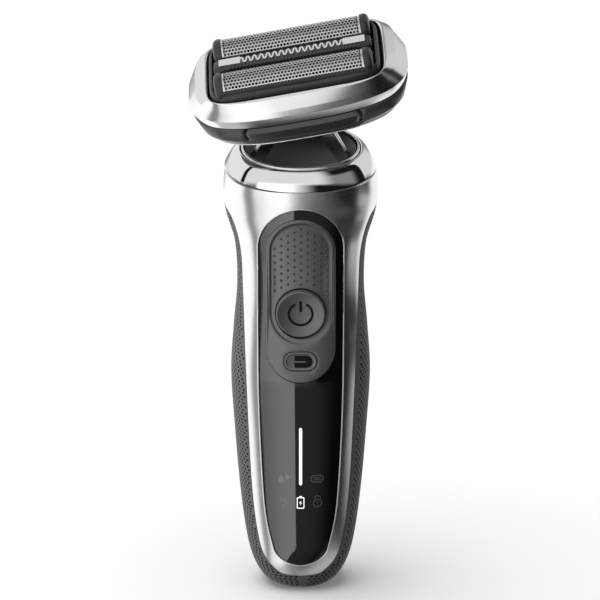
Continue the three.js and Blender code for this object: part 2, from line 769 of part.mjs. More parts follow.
function trimmerBlade() {
  const strip = toothedStrip(15.4, 1.15, 18, 28, 12.4, 13.1);
  const post = slab(1.8, 1.15, 0.4, 8.2, 12.6);
  return cut(join(strip, post), cylinder(1, [0, 0, 7], [0, 0, 11], 16));
}

function spring(x, y) {
  const turns = 2;
  const low = CASSETTE.low + 1.1;
  const height = FLOAT_BASE - low - 0.3;
  class Coil extends THREE.Curve {
    getPoint(t, target = new THREE.Vector3()) {
      const angle = t * turns * 2 * Math.PI;
      return target.set(x + 0.85 * Math.cos(angle), y + 0.85 * Math.sin(angle), low + height * t);
    }
  }
  const wire = new THREE.Shape().absarc(0, 0, 0.22, 0, 2 * Math.PI);
  const path = { steps: turns * 8, curveSegments: 3, extrudePath: new Coil() };
  return solid(new THREE.ExtrudeGeometry(wire, { ...path, bevelEnabled: false }));
}

// ---- assembly -----------------------------------------------------------------------------

place("grip_shell", gripShell(), atHandle, "rubber");
place("front_bezel", frontBezel(), atHandle, "satin_metal");
place("display_panel", displayPanel(), atHandle, "black_gloss");
place("light_bar", lightBar(), atHandle, "light");
place("button_plate", buttonPlate(), atHandle, "grey_matte");
place("power_button", powerButton(), atHandle, "grey_matte");
place("mode_button", modeButton(), atHandle, "grey_matte");
place("chassis", chassis(), atHandle, "charcoal");
place("circuit_board", circuitBoard(), atHandle, "board");
place("power_switch", tactSwitch(POWER.z, -12.4), atHandle, "charcoal");
place("mode_switch", tactSwitch(MODE.z, -13.8), atHandle, "charcoal");
place("battery_cell", batteryCell(), atHandle, "cell");
place("battery_tab_top", batteryTab(CELL.high + 1.3), atHandle, "steel");
place("battery_tab_bottom", batteryTab(CELL.low - 0.8), atHandle, "steel");
place("charging_socket", chargingSocket(), atHandle, "charcoal");
SCREWS.forEach((spot, i) => place(`board_screw_${i + 1}`, screw(spot), atHandle, "steel"));
both((side) => {
  const label = side < 0 ? "left" : "right";
  place(`socket_pin_${label}`, socketPin(side), atHandle, "steel");
  place(`rear_contact_${label}`, rearContact(side), atHandle, "gold");
  place(`pitch_pin_${label}`, pitchPin(side), atHead, "steel");
  place(`motor_${label}`, motorStator(side), atHead, "copper");
});

place("collar_ring", collarRing(), atCollar, "chrome");
place("collar_bevel", collarBevel(), atCollar, "satin_metal");
place("neck_dish", neckDish(), atCollar, "charcoal");
place("seal_ring", sealRing(), atCollar, "rubber");
place("neck_mount", neckMount(), atCollar, "charcoal");
place("neck_yoke", neckYoke(), atPivot, "steel");
place("gimbal_frame", gimbalFrame(), atRoll, "steel");
place("roll_pin", rollPin(), atRoll, "steel");

place("head_ring", headRing(), atHead, "chrome");
place("head_base", headBase(), atHead, "charcoal");
place("head_deck", headDeck(), atHead, "charcoal");
place("drive_armature", driveArmature(), atHead, "steel");
place("drive_pin_middle", drivePin(0), atHead, "steel");
place("cassette_frame", cassetteFrame(), atHead, "charcoal");
place("trimmer_carrier", trimmerCarrier(), atHead, "charcoal");
place("trimmer_comb", trimmerComb(), atHead, "steel");
place("trimmer_blade", trimmerBlade(), atHead, "steel");
both((side) => {
  const label = side < 0 ? "front" : "rear";
  const y = side * FOIL.y;
  place(`release_tab_${label}`, releaseTab(side), atHead, "grey_matte");
  place(`drive_pin_${label}`, drivePin(y), atHead, "steel");
  place(`foil_sheet_${label}`, foilSheet(y), atHead, "steel");
  place(`foil_carrier_${label}`, foilCarrier(y), atHead, "charcoal");
  place(`foil_cutter_${label}`, foilCutter(y), atHead, "steel");
  both((end) => {
    const name = `foil_spring_${label}_${end < 0 ? "left" : "right"}`;
    place(name, spring(end * 20.7, y), atHead, "steel");
  });
});

export default shaver;
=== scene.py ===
import json
from math import asin, copysign, cos, hypot, pi as PI, radians, sin, sqrt, tan

import bmesh
import bpy
import numpy as np
from mathutils import Matrix, Vector
from mathutils.geometry import delaunay_2d_cdt


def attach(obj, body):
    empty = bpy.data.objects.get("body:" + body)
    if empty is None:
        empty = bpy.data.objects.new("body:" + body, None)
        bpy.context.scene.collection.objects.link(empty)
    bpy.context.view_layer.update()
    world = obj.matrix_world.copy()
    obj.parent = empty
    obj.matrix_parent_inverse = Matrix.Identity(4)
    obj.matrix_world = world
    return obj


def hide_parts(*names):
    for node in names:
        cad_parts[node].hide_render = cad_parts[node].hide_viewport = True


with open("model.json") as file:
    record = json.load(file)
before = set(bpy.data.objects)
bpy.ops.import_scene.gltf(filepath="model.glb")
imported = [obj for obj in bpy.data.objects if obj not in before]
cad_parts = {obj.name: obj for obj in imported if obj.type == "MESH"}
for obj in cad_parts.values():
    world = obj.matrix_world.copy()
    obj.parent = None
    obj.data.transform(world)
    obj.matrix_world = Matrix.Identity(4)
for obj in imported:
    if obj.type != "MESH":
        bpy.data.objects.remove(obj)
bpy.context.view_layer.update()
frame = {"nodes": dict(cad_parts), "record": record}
SCENE = bpy.context.scene
MM = 0.001


# ---- places

def turn(axis, degrees):
    return Matrix.Rotation(radians(degrees), 4, axis)


def shift(x, y, z):
    return Matrix.Translation((x, y, z))


SEAM_Z = 124.6
SEAM_SLOPE = tan(radians(13.5))
AT_HANDLE = Matrix.Identity(4)
AT_COLLAR = shift(0, 0, SEAM_Z) @ turn("X", 13.5)
AT_PIVOT = AT_COLLAR @ shift(0, 0, 23)


def head_place():
    """The head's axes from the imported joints: pitch, foil float and their common normal."""
    joints = {joint["name"]: joint for joint in frame["record"]["behaviour"]["joints"]}
    across = Vector(joints["head_pitch"]["axis"]).normalized()
    up = Vector(joints["foil_front_float"]["axis"]).normalized()
    away = up.cross(across)
    made = Matrix((across, away, up)).transposed().to_4x4()
    made.translation = Vector(joints["head_pitch"]["pos_m"]) / MM
    return made


AT_HEAD = head_place()


# ---- materials

def node(tree, kind, inputs=None, **settings):
    made = tree.nodes.new(kind)
    for key, value in settings.items():
        setattr(made, key, value)
    for key, value in (inputs or {}).items():
        if isinstance(value, bpy.types.NodeSocket):
            tree.links.new(value, made.inputs[key])
        else:
            made.inputs[key].default_value = value
    return made


def math_node(tree, operation, *values):
    return node(tree, "ShaderNodeMath", dict(enumerate(values)), operation=operation).outputs[0]


def material(name, color, rough, metallic=0.0, grain=900.0, stretch=(1, 1, 1), vary=0.05,
             bump=0.02, tint=0.06, **extra):
    """A surface whose colour, roughness and relief all vary with a fine procedural grain."""
    made = bpy.data.materials.new(name)
    made.use_nodes = True
    tree = made.node_tree
    shader = tree.nodes["Principled BSDF"]
    shader.inputs["Metallic"].default_value = metallic
    for key, value in extra.items():
        shader.inputs[key.replace("_", " ")].default_value = value
    where = node(tree, "ShaderNodeTexCoord").outputs["Object"]
    mapped = node(tree, "ShaderNodeMapping", {"Vector": where, "Scale": stretch}).outputs[0]

    def noise(vector, scale, detail):
        return node(tree, "ShaderNodeTexNoise",
                    {"Vector": vector, "Scale": scale, "Detail": detail}).outputs[0]

    fine, broad = noise(mapped, grain, 3.0), noise(where, 60.0, 2.0)
    rough_mix = math_node(tree, "MULTIPLY_ADD", fine, vary, rough - vary / 2)
    worn = math_node(tree, "MULTIPLY_ADD", broad, vary * 0.6, rough_mix)
    tree.links.new(worn, shader.inputs["Roughness"])
    ramp = node(tree, "ShaderNodeValToRGB", {"Fac": broad})
    dark = [c * (1 - tint) for c in color] + [1]
    light = [min(1, c * (1 + tint)) for c in color] + [1]
    ramp.color_ramp.elements[0].color = dark
    ramp.color_ramp.elements[1].color = light
    tree.links.new(ramp.outputs[0], shader.inputs["Base Color"])
    relief = node(tree, "ShaderNodeBump", {"Height": fine, "Strength": bump, "Distance": 0.0002})
    tree.links.new(relief.outputs[0], shader.inputs["Normal"])
    return made


MAT = {
    "rubber": material("grip_rubber", (0.088, 0.092, 0.097), 0.5, grain=2500, bump=0.12, vary=0.1,
                       Specular_IOR_Level=0.2),
    # near-black, barely glossy studs: painted shade standing in for the shadows round the grip's
    # studs
    "rubber_dot_shade": material("grip_dot_painted_shade", (0.008, 0.008, 0.009), 0.7, grain=2500, bump=0.1,
                           Specular_IOR_Level=0.02),
    "seal": material("seal_rubber", (0.01, 0.01, 0.011), 0.6, grain=2500),
    "satin": material("satin_metal", (0.76, 0.765, 0.775), 0.2, 1.0, grain=3500, tint=0.012),
    "chrome": material("polished_chrome", (0.82, 0.825, 0.83), 0.035, 1.0, grain=500, vary=0.02,
                       bump=0.002, tint=0.01),
    "head_chrome": material("satin_chrome", (0.78, 0.785, 0.79), 0.17, 1.0, grain=2500, vary=0.03,
                            bump=0.008, tint=0.01),
    "gloss": material("black_gloss", (0.003, 0.003, 0.0035), 0.03, grain=300, vary=0.015, bump=0.0,
                      IOR=1.95),
    "grey": material("matte_grey", (0.052, 0.055, 0.06), 0.33, grain=5000, vary=0.1, bump=0.06,
                     IOR=1.88),
    # darker, rougher grey for the plate's dots: painted shade for the shadows round them
    "grey_dot_shade": material("matte_grey_dot_shade", (0.045, 0.047, 0.05), 0.5, grain=5000, bump=0.05),
    "tab": material("tab_grey", (0.038, 0.04, 0.043), 0.24, grain=3500, vary=0.08, bump=0.03),
    "charcoal": material("charcoal_plastic", (0.018, 0.018, 0.019), 0.3, grain=3500, vary=0.08,
                         bump=0.04),
    "base": material("base_gloss", (0.05, 0.052, 0.056), 0.2, grain=1500, vary=0.06, bump=0.01),
    "dish": material("dish_plastic", (0.02, 0.02, 0.021), 0.38, grain=4500, vary=0.1, bump=0.07),
    "steel": material("brushed_steel", (0.62, 0.625, 0.63), 0.24, 1.0, grain=1500,
                      stretch=(1, 12, 1), vary=0.1, bump=0.012),
    "foil": material("foil_steel", (0.7, 0.7, 0.69), 0.28, 1.0, grain=4000, vary=0.1, bump=0.03),
    # dark steel under the foils: painted shade, so the foil's holes look as dark as the shaded
    # inside of the head
    "blade": material("blade_steel", (0.16, 0.16, 0.165), 0.4, 1.0, grain=2500, vary=0.15,
                      bump=0.05),
    "silver": material("trimmer_steel", (0.9, 0.9, 0.895), 0.3, 1.0, grain=3000, vary=0.1,
                       bump=0.03),
    "brass": material("contact_brass", (0.75, 0.56, 0.24), 0.25, 1.0, grain=2000, vary=0.1),
    "board": material("circuit_green", (0.02, 0.11, 0.045), 0.4, grain=1200, vary=0.15, tint=0.2),
    "cell": material("cell_sleeve", (0.03, 0.14, 0.36), 0.3, grain=1000, vary=0.08),
    "copper": material("copper_winding", (0.62, 0.26, 0.12), 0.35, 1.0, grain=1800,
                       stretch=(1, 1, 14), vary=0.15, bump=0.3),
    "icon": material("icon_dim", (0.075, 0.075, 0.078), 0.03, grain=300, vary=0.015, bump=0.0,
                     IOR=1.95),
    "ink": material("icon_ink", (0.004, 0.004, 0.005), 0.2, bump=0.0, Specular_IOR_Level=0.15),
    "glow": material("icon_light", (0.9, 0.92, 0.95), 0.3, bump=0.0,
                     Emission_Color=(0.95, 0.97, 1, 1), Emission_Strength=0.75),
}

# A slot name for each material, for a piece that names no other; finish_mesh looks it up but gives
# no piece a slot.
SLOTS = {
    "satin": "satin_metal", "chrome": "chrome", "head_chrome": "chrome", "silver": "steel",
    "foil": "foil_steel", "rubber": "rubber", "rubber_dot_shade": "rubber", "gloss": "black_gloss",
    "ink": "black_gloss", "glow": "light", "charcoal": "charcoal", "base": "charcoal",
    "dish": "charcoal", **dict.fromkeys(("grey", "grey_dot_shade", "tab", "icon"), "grey_matte"),
}


# ---- meshes

def finish_mesh(name, verts, faces, mat, body, place=AT_HANDLE, replaces=(), slot=None,
                thick=0.0, bevel=0.0, angle=32, core=None, facets=False):
    """Turns millimetre points into one named piece that rides on a body."""
    mesh = bpy.data.meshes.new(name)
    mesh.from_pydata([place @ Vector(v) * MM for v in verts], [], faces)
    work = bmesh.new()
    work.from_mesh(mesh)
    bmesh.ops.remove_doubles(work, verts=work.verts, dist=2e-6)
    bmesh.ops.dissolve_degenerate(work, edges=work.edges, dist=1e-6)
    bmesh.ops.recalc_face_normals(work, faces=work.faces)
    if core:
        start = place @ Vector(core[0]) * MM
        along = place.to_3x3() @ Vector(core[1])
        vote = 0.0
        for face in work.faces:
            away = face.calc_center_median() - start
            outwards = (away - along * away.dot(along)).normalized()
            vote += face.normal.dot(outwards) * face.calc_area()
        if vote < 0:
            bmesh.ops.reverse_faces(work, faces=work.faces)
    for edge in work.edges:
        edge.smooth = len(edge.link_faces) == 2 and edge.calc_face_angle(0) < radians(angle)
    for face in work.faces:
        face.smooth = True
    work.to_mesh(mesh)
    work.free()
    made = bpy.data.objects.new(name, mesh)
    SCENE.collection.objects.link(made)
    mesh.materials.append(MAT[mat])
    if thick:
        shell = made.modifiers.new("wall", "SOLIDIFY")
        shell.thickness = thick * MM
        shell.offset = -1
        shell.use_even_offset = False
    if bevel:
        rounded = made.modifiers.new("edges", "BEVEL")
        rounded.width = bevel * MM
        rounded.segments = 2
        rounded.limit_method = "ANGLE"
        rounded.angle_limit = radians(angle)
    if bevel or facets:
        made.modifiers.new("normals", "WEIGHTED_NORMAL").keep_sharp = True
    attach(made, body)
    if replaces:
        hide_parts(*replaces)
    slot or SLOTS[mat]


def skin(rows, closed_rows=False, closed_columns=True):
    """Faces between rows of points that all have the same length."""
    count = len(rows[0])
    points = [p for row in rows for p in row]
    faces = []
    last = len(rows) if closed_rows else len(rows) - 1
    for r in range(last):
        a, b = r * count, ((r + 1) % len(rows)) * count
        for i in range(count if closed_columns else count - 1):
            j = (i + 1) % count
            faces.append((a + i, a + j, b + j, b + i))
    return points, faces


def cap(points, faces, ring, flip=False):
    """Closes one ring of the skin with a fan to its middle."""
    middle = sum((Vector(points[i]) for i in ring), Vector()) / len(ring)
    points.append(tuple(middle))
    hub = len(points) - 1
    for a, b in zip(ring, ring[1:] + ring[:1]):
        faces.append((hub, b, a) if flip else (hub, a, b))


def merge(parts):
    points, faces = [], []
    for part_points, part_faces in parts:
        base = len(points)
        points += [tuple(p) for p in part_points]
        faces += [tuple(base + i for i in face) for face in part_faces]
    return points, faces


def power(value, exponent):
    return copysign(abs(value) ** (2 / exponent), value)


def oval(z, half_width, half_depth, exponent=2.1, count=144, back_exponent=None):
    """A level ring of points on a superellipse, squarer at the back if asked."""
    ring = []
    for i in range(count):
        a = (i + 0.5) / count * 2 * PI
        e = back_exponent if back_exponent and sin(a) > 0 else exponent
        y = half_depth * power(sin(a), e)
        ring.append((half_width * power(cos(a), e), y, z))
    return ring


def soften(rows, by):
    """Splits each inner row into two, a little towards its neighbours, for a rounded edge."""
    out = [rows[0]]
    for before, row, after in zip(rows, rows[1:], rows[2:]):
        for other in (before, after):
            pair = []
            for p, q in zip(row, other):
                step = Vector(q) - Vector(p)
                pair.append(tuple(Vector(p) + step * min(0.45, by / max(step.length, 1e-6))))
            out.append(pair)
    return out + [rows[-1]]


def capped(rows):
    """A skin with its first and last rows closed."""
    points, faces = skin(rows)
    count = len(rows[0])
    cap(points, faces, list(range(count)), True)
    cap(points, faces, list(range((len(rows) - 1) * count, len(rows) * count)))
    return points, faces


def lofted(name, rows, mat, body, place, ends=True, closed=False, **options):
    shape = capped(rows) if ends and not closed else skin(rows, closed)
    finish_mesh(name, *shape, mat, body, place, **options)


def upright(rings):
    """Rows from outlines in X and Z, each at its own Y."""
    return [[(x, y, z) for x, z in outline] for outline, y in rings]


def prism(outline, low, high, axis="z"):
    """A straight solid on an outline; the outline's plane is across the axis."""
    order = {"z": lambda a, b, c: (a, b, c), "x": lambda a, b, c: (c, a, b),
             "y": lambda a, b, c: (a, c, b)}[axis]
    points, faces = skin([[order(a, b, c) for a, b in outline] for c in (low, high)])
    count = len(outline)
    faces += [tuple(range(count)), tuple(reversed(range(count, 2 * count)))]
    return points, faces


def arc(y, z, radius_y, radius_z, start, end, count):
    return [(y + radius_y * cos(a), z + radius_z * sin(a))
            for a in np.linspace(start, end, count)]


def tapered(outline, middle, low, stations, wide, tall):
    """Sections along X, each drawn in by a little towards the middle of the outline's foot."""
    return [[(x, middle + (a - middle) * (1 - by / wide), low + (b - low) * (1 - by / tall))
             for a, b in outline] for x, by in stations]


def rounded(half_width, half_height, radius, x=0.0, y=0.0, steps=6):
    """Outline of a rectangle with round corners."""
    outline = []
    for quarter, (sx, sy) in enumerate([(1, 1), (-1, 1), (-1, -1), (1, -1)]):
        for k in range(steps + 1):
            a = (quarter + k / steps) * PI / 2
            outline.append((x + sx * (half_width - radius) + radius * cos(a),
                            y + sy * (half_height - radius) + radius * sin(a)))
    return outline


# ---- the handle's surface

HANDLE = [
    (0, 7.6, 7, 7.4), (2.5, 10.9, 9.6, 10.1), (8, 13.9, 12, 12.6), (16, 15.8, 13.6, 14.3),
    (30, 17.5, 15.1, 15.8), (48, 18.9, 16.6, 17), (65, 19.8, 17.2, 17.5), (79, 18.9, 16.2, 16.6),
    (91, 17.9, 14.9, 15.7), (103, 18.5, 14.6, 15.7), (112, 21, 15.6, 16.8),
    (119, 21.7, 16.9, 17.7), (134, 19.6, 17.4, 17.4),
]
SECTION = 2.35
BEZEL_EDGE = [(5.7, 6), (9.6, 10), (12, 17), (13.9, 34), (15.3, 67), (16.1, 90), (16.7, 102),
              (19, 111), (23.5, 118)]
PANEL_EDGE = [(7.6, 13.6), (9.9, 25), (11.1, 43), (11.8, 68)]
BEZEL_BOTTOM, PANEL_BOTTOM, PANEL_TOP, PANEL_RADIUS = 5.2, 8.9, 115.5, 11.85


def station(z, column):
    row = min(len(HANDLE) - 2, max(0, sum(1 for h in HANDLE if h[0] <= z) - 1))
    a, b = HANDLE[row], HANDLE[row + 1]

    def slope(i):
        before, after = HANDLE[max(0, i - 1)], HANDLE[min(len(HANDLE) - 1, i + 1)]
        return (after[column] - before[column]) / (after[0] - before[0])

    span = b[0] - a[0]
    t = (z - a[0]) / span
    start = 1.5 if row == 0 else slope(row)
    return ((2 * t**3 - 3 * t**2 + 1) * a[column] + (t**3 - 2 * t**2 + t) * span * start
            + (3 * t**2 - 2 * t**3) * b[column] + (t**3 - t**2) * span * slope(row + 1))


def on_handle(z, phi, inset=0.0):
    """Point on the handle at a height and an angle from the front, positive towards +X."""
    depth = station(z, 2 if cos(phi) > 0 else 3) - inset
    x = (station(z, 1) - inset) * power(sin(phi), SECTION)
    return (x, -depth * power(cos(phi), SECTION), z)


def phi_of(x, z, inset=0.0):
    share = min(1.0, abs(x) / (station(z, 1) - inset))
    return copysign(asin(share ** (SECTION / 2)), x)


def at_xz(x, z, inset=0.0):
    return on_handle(z, phi_of(x, z, inset), inset)


def catmull(points, steps=12):
    out = []
    for i in range(len(points) - 1):
        p = [points[max(0, min(len(points) - 1, i + k))] for k in (-1, 0, 1, 2)]
        for k in range(steps):
            t = k / steps
            out.append(tuple(0.5 * (2 * p[1][c] + (p[2][c] - p[0][c]) * t
                                    + (2 * p[0][c] - 5 * p[1][c] + 4 * p[2][c] - p[3][c]) * t * t
                                    + (3 * p[1][c] - p[0][c] - 3 * p[2][c] + p[3][c]) * t**3)
                             for c in (0, 1)))
    return out + [points[-1]]


def bezier(a, b, c, d, steps=24):
    out = []
    for k in range(steps):
        t = k / steps
        w = ((1 - t)**3, 3 * t * (1 - t)**2, 3 * t * t * (1 - t), t**3)
        out.append(tuple(w[0] * a[i] + w[1] * b[i] + w[2] * c[i] + w[3] * d[i] for i in (0, 1)))
    return out


BEZEL_CURVE = bezier((0, 5.2), (2.1, 5.2), (4, 5.5), (5.7, 6)) + catmull(BEZEL_EDGE)
AXIS = ((0, 0, 0), (0, 0, 1))
PANEL_CURVE = bezier((0, 8.9), (3, 8.9), (6.2, 10.5), (7.6, 13.6)) + catmull(
    PANEL_EDGE + [(PANEL_RADIUS, PANEL_TOP - PANEL_RADIUS)])
SWEEP_T = np.linspace(0, 1, 60)
SWEEP_Z = 104 * (1 - SWEEP_T)**2 + 232 * SWEEP_T * (1 - SWEEP_T) + 127 * SWEEP_T**2
SWEEP_Y = -((1 - SWEEP_T)**2) + 9 * SWEEP_T**2


def curve_x(curve, z):
    return float(np.interp(z, [p[1] for p in curve], [p[0] for p in curve]))


def panel_x(z, grow=0.0):
    centre = PANEL_TOP - PANEL_RADIUS
    radius = PANEL_RADIUS + grow
    if z >= centre:
        return sqrt(max(0.0, radius**2 - (z - centre)**2))
    if z <= PANEL_BOTTOM - grow:
        return 0.0
    return max(0.0, curve_x(PANEL_CURVE, z) + grow * min(1.0, (z - PANEL_BOTTOM + grow) / 2))


def bezel_phi(z):
    """Angle of the metal front's side edge at a height."""
    if z <= BEZEL_BOTTOM:
        return 0.0
    y = float(np.interp(z, SWEEP_Z, SWEEP_Y)) if z > 104 else -1.0
    depth = station(z, 2 if y < 0 else 3)
    limit = PI / 2 + copysign(asin(abs(y / depth) ** (SECTION / 2)), y)
    x = curve_x(BEZEL_CURVE, z)
    edge = phi_of(x, z) if x < station(z, 1) else PI / 2
    if z > 112:
        blend_in = min(1.0, (z - 112) / 5)
        edge += (limit - edge) * blend_in * blend_in * (3 - 2 * blend_in)
    return min(edge, limit)


def seam_z(y):
    return SEAM_Z + SEAM_SLOPE * y


def row_at(level, phis_at, inset=0.0, drop=0.0):
    """A row at a height, or past TILT_START at a share of the way up to the tilted seam."""
    if level <= TILT_START:
        return [on_handle(level, phi, inset) for phi in phis_at(level)]
    share = level - TILT_START
    row = []
    for i in range(len(phis_at(TILT_START))):
        z = 118.0
        for _ in range(8):
            point = on_handle(z, phis_at(z)[i], inset)
            z = TILT_START + share * (seam_z(point[1]) - drop - TILT_START)
        row.append(point)
    return row


def spread(spans):
    """Heights through a list of spans, closer where an outline closes."""
    out = []
    for a, b, n, kind in spans:
        for k in range(n):
            t = k / n
            t = t * t if kind == "in" else sin(t * PI / 2) if kind == "out" else t
            out.append(a + (b - a) * t)
    return out + [spans[-1][1]]


TILT_START = 116.0
TILT_ROWS = 8
# Heights from the metal front's lower edge, then shares of the way up to the seam.
LEVELS = spread([(BEZEL_BOTTOM, PANEL_BOTTOM, 10, "in"), (PANEL_BOTTOM, 13.6, 16, "in"),
                 (13.6, 103.65, 60, "even"), (103.65, PANEL_TOP, 26, "out"),
                 (PANEL_TOP, TILT_START, 2, "even")])
LEVELS += [TILT_START + (k + 1) / TILT_ROWS for k in range(TILT_ROWS)]


def halves(inner_x, outer_phi, count, rows_at):
    """Left and right strips of the handle, from an inner half width out to an angle."""
    parts = []
    for side in (-1, 1):
        def phis(z):
            a, b = phi_of(inner_x(z), z), outer_phi(z)
            return [side * (a + (b - a) * i / (count - 1)) for i in range(count)]
        parts.append(skin(rows_at(phis), closed_columns=False))
    return merge(parts)


def tilted_rows(phis, levels):
    """Rows at the levels, then round the handle's upper edge."""
    return [row_at(v, phis, drop=0.05) for v in levels] + shoulder(phis)


def shoulder(phis):
    """Rows that turn the handle's upper edge in towards the collar."""
    return [row_at(117.0, phis, inset, drop=drop)
            for inset, drop in ((0.05, 0.01), (0.2, -0.05), (0.5, -0.06), (1.1, -0.02))]


def front_bezel():
    shape = halves(panel_x, bezel_phi, 26, lambda phis: tilted_rows(phis, LEVELS))
    finish_mesh("metal_front", *shape, "satin", "handle", replaces=["front_bezel"],
                thick=1.3, bevel=0.16, angle=40, core=AXIS)


def grip():
    gap = 0.012

    def phis(z):
        start = bezel_phi(z) + (gap if z > BEZEL_BOTTOM else 0)
        return [start + (2 * PI - 2 * start) * i / 160 for i in range(161)]

    low = [0.25, 0.6, 1.1, 1.8, 2.7, 3.7, 4.6]
    foot = [on_handle(0, phi, 0.0) for phi in phis(0)]
    mouth = [(4.3 * power(sin(p), 4.5), 3.7 - 3.0 * power(cos(p), 4.5), 0.0) for p in phis(0)]
    between = [[tuple(Vector(a).lerp(Vector(b), t)) for a, b in zip(mouth, foot)]
               for t in (0.06, 0.5)]
    well = [[(x, y, z) for x, y, _ in mouth] for z in (2.2, 0.25)]
    rows = well + between + [foot] + tilted_rows(phis, low + LEVELS)
    finish_mesh("rubber_grip", *skin(rows, closed_columns=False), "rubber", "handle",
                replaces=["grip_shell"], thick=1.5, bevel=0.12, angle=50, core=AXIS)


def grip_dots():
    """Small studs in staggered rows over the rubber, closer towards the foot; their near-black
    colour is painted shade for the studs' shadows.
    """
    points, faces = [], []
    row_step, stud_width, stud_height, stud_lift = 1.02, 0.45, 0.38, 0.07
    z, k = 1.7, 0
    while z < 119:
        low = min(1.0, max(0.0, (60 - z) / 35))
        pitch = 1.85 - 0.35 * low
        start = bezel_phi(z) + 0.05
        phi, along = start, (pitch / 2 if k % 2 else 0.0)
        previous = Vector(on_handle(z, phi))
        carried = -along
        while phi < 2 * PI - start:
            phi += 0.004
            here = Vector(on_handle(z, phi))
            carried += (here - previous).length
            previous = here
            if carried < pitch or phi > 2 * PI - start:
                continue
            carried = 0.0
            if here.z > seam_z(here.y) - 1.6:
                continue
            right = (Vector(on_handle(z, phi + 0.01)) - here).normalized()
            up = (Vector(on_handle(z + 0.3, phi)) - here).normalized()
            out = right.cross(up).normalized()
            base = len(points)
            for j in range(6):
                a = j * PI / 3
                spot = (here + right * (stud_width + 0.03 * low) * cos(a)
                        + up * stud_height * sin(a))
                points.append(tuple(spot - out * 0.008))
            points.append(tuple(here + out * stud_lift))
            faces += [(base + j, base + (j + 1) % 6, base + 6) for j in range(6)]
            faces.append(tuple(base + j for j in reversed(range(6))))
        z += row_step
        k += 1
    finish_mesh("grip_dots", points, faces, "rubber_dot_shade", "handle", angle=80)


OPENING_RADIUS, OPENING_LOW, OPENING_HIGH = 9.9, 75.5, 102.8


def plate_x(z):
    """Half width of the pill-shaped opening for the control plate."""
    beyond = max(0.0, OPENING_LOW - z, z - OPENING_HIGH)
    return sqrt(max(0.0, OPENING_RADIUS**2 - beyond**2))


def display_panel():
    levels = spread([
        (9.12, 13.6, 18, "in"), (13.6, 65.6, 36, "even"), (65.6, OPENING_LOW, 18, "in"),
        (OPENING_LOW, OPENING_HIGH, 16, "even"), (OPENING_HIGH, 112.7, 18, "out"),
        (112.7, 115.27, 10, "out")])
    shape = halves(plate_x, lambda z: phi_of(panel_x(z, -0.22), z), 20,
                   lambda phis: [[on_handle(z, p, 0.25) for p in phis(z)] for z in levels])
    finish_mesh("gloss_panel", *shape, "gloss", "handle", replaces=["display_panel"],
                thick=1.2, bevel=0.1, angle=40, core=AXIS)


def pill(radius, low, high, count=96):
    """Outline of an upright pill, from the middle of its right side round to it again."""
    outline = []
    for i in range(count):
        a = (i + 0.5) / count * 2 * PI
        centre = high - radius if sin(a) > 0 else low + radius
        outline.append((radius * cos(a), centre + radius * sin(a)))
    return outline


def surface_patch(outer, holes, inset, spacing=1.1):
    """Triangles between closed outlines in X and Z, laid on the handle's surface."""
    loops = [outer] + holes
    points, edges = [], []
    for loop in loops:
        base = len(points)
        points += [Vector(p) for p in loop]
        edges += [(base + i, base + (i + 1) % len(loop)) for i in range(len(loop))]

    def inside(loop, x, z):
        hit = False
        for (ax, az), (bx, bz) in zip(loop, loop[1:] + loop[:1]):
            if (az > z) != (bz > z) and x < (bx - ax) * (z - az) / (bz - az) + ax:
                hit = not hit
        return hit

    def on_patch(x, z):
        return inside(outer, x, z) and not any(inside(hole, x, z) for hole in holes)

    low = [min(p[i] for p in outer) for i in (0, 1)]
    high = [max(p[i] for p in outer) for i in (0, 1)]
    clear = 0.45 * spacing
    for i in range(int((high[0] - low[0]) / spacing) + 1):
        for k in range(int((high[1] - low[1]) / spacing) + 1):
            x, z = low[0] + (i + 0.5) * spacing, low[1] + (k + 0.5 * (i % 2)) * spacing
            if on_patch(x, z) and min(hypot(x - a, z - b) for loop in loops
                                      for a, b in loop) > clear:
                points.append(Vector((x, z)))
    spots, _, triangles, _, _, _ = delaunay_2d_cdt(points, edges, [], 0, 1e-5)
    faces = []
    for face in triangles:
        x = sum(spots[i].x for i in face) / 3
        z = sum(spots[i].y for i in face) / 3
        if on_patch(x, z):
            faces.append(tuple(face))
    return [at_xz(p.x, p.y, inset) for p in spots], faces


def wall_rows(rings):
    """Rows on the handle's surface from outlines in X and Z with an inset each."""
    return skin([[at_xz(x, z, inset) for x, z in outline] for outline, inset in rings])


POWER_Z, MODE_Z = 85.3, 72
PLATE_FACE, RECESS_FACE = -0.06, 0.6
DOT_COLUMN, DOT_ROW = 1.8, 2.0


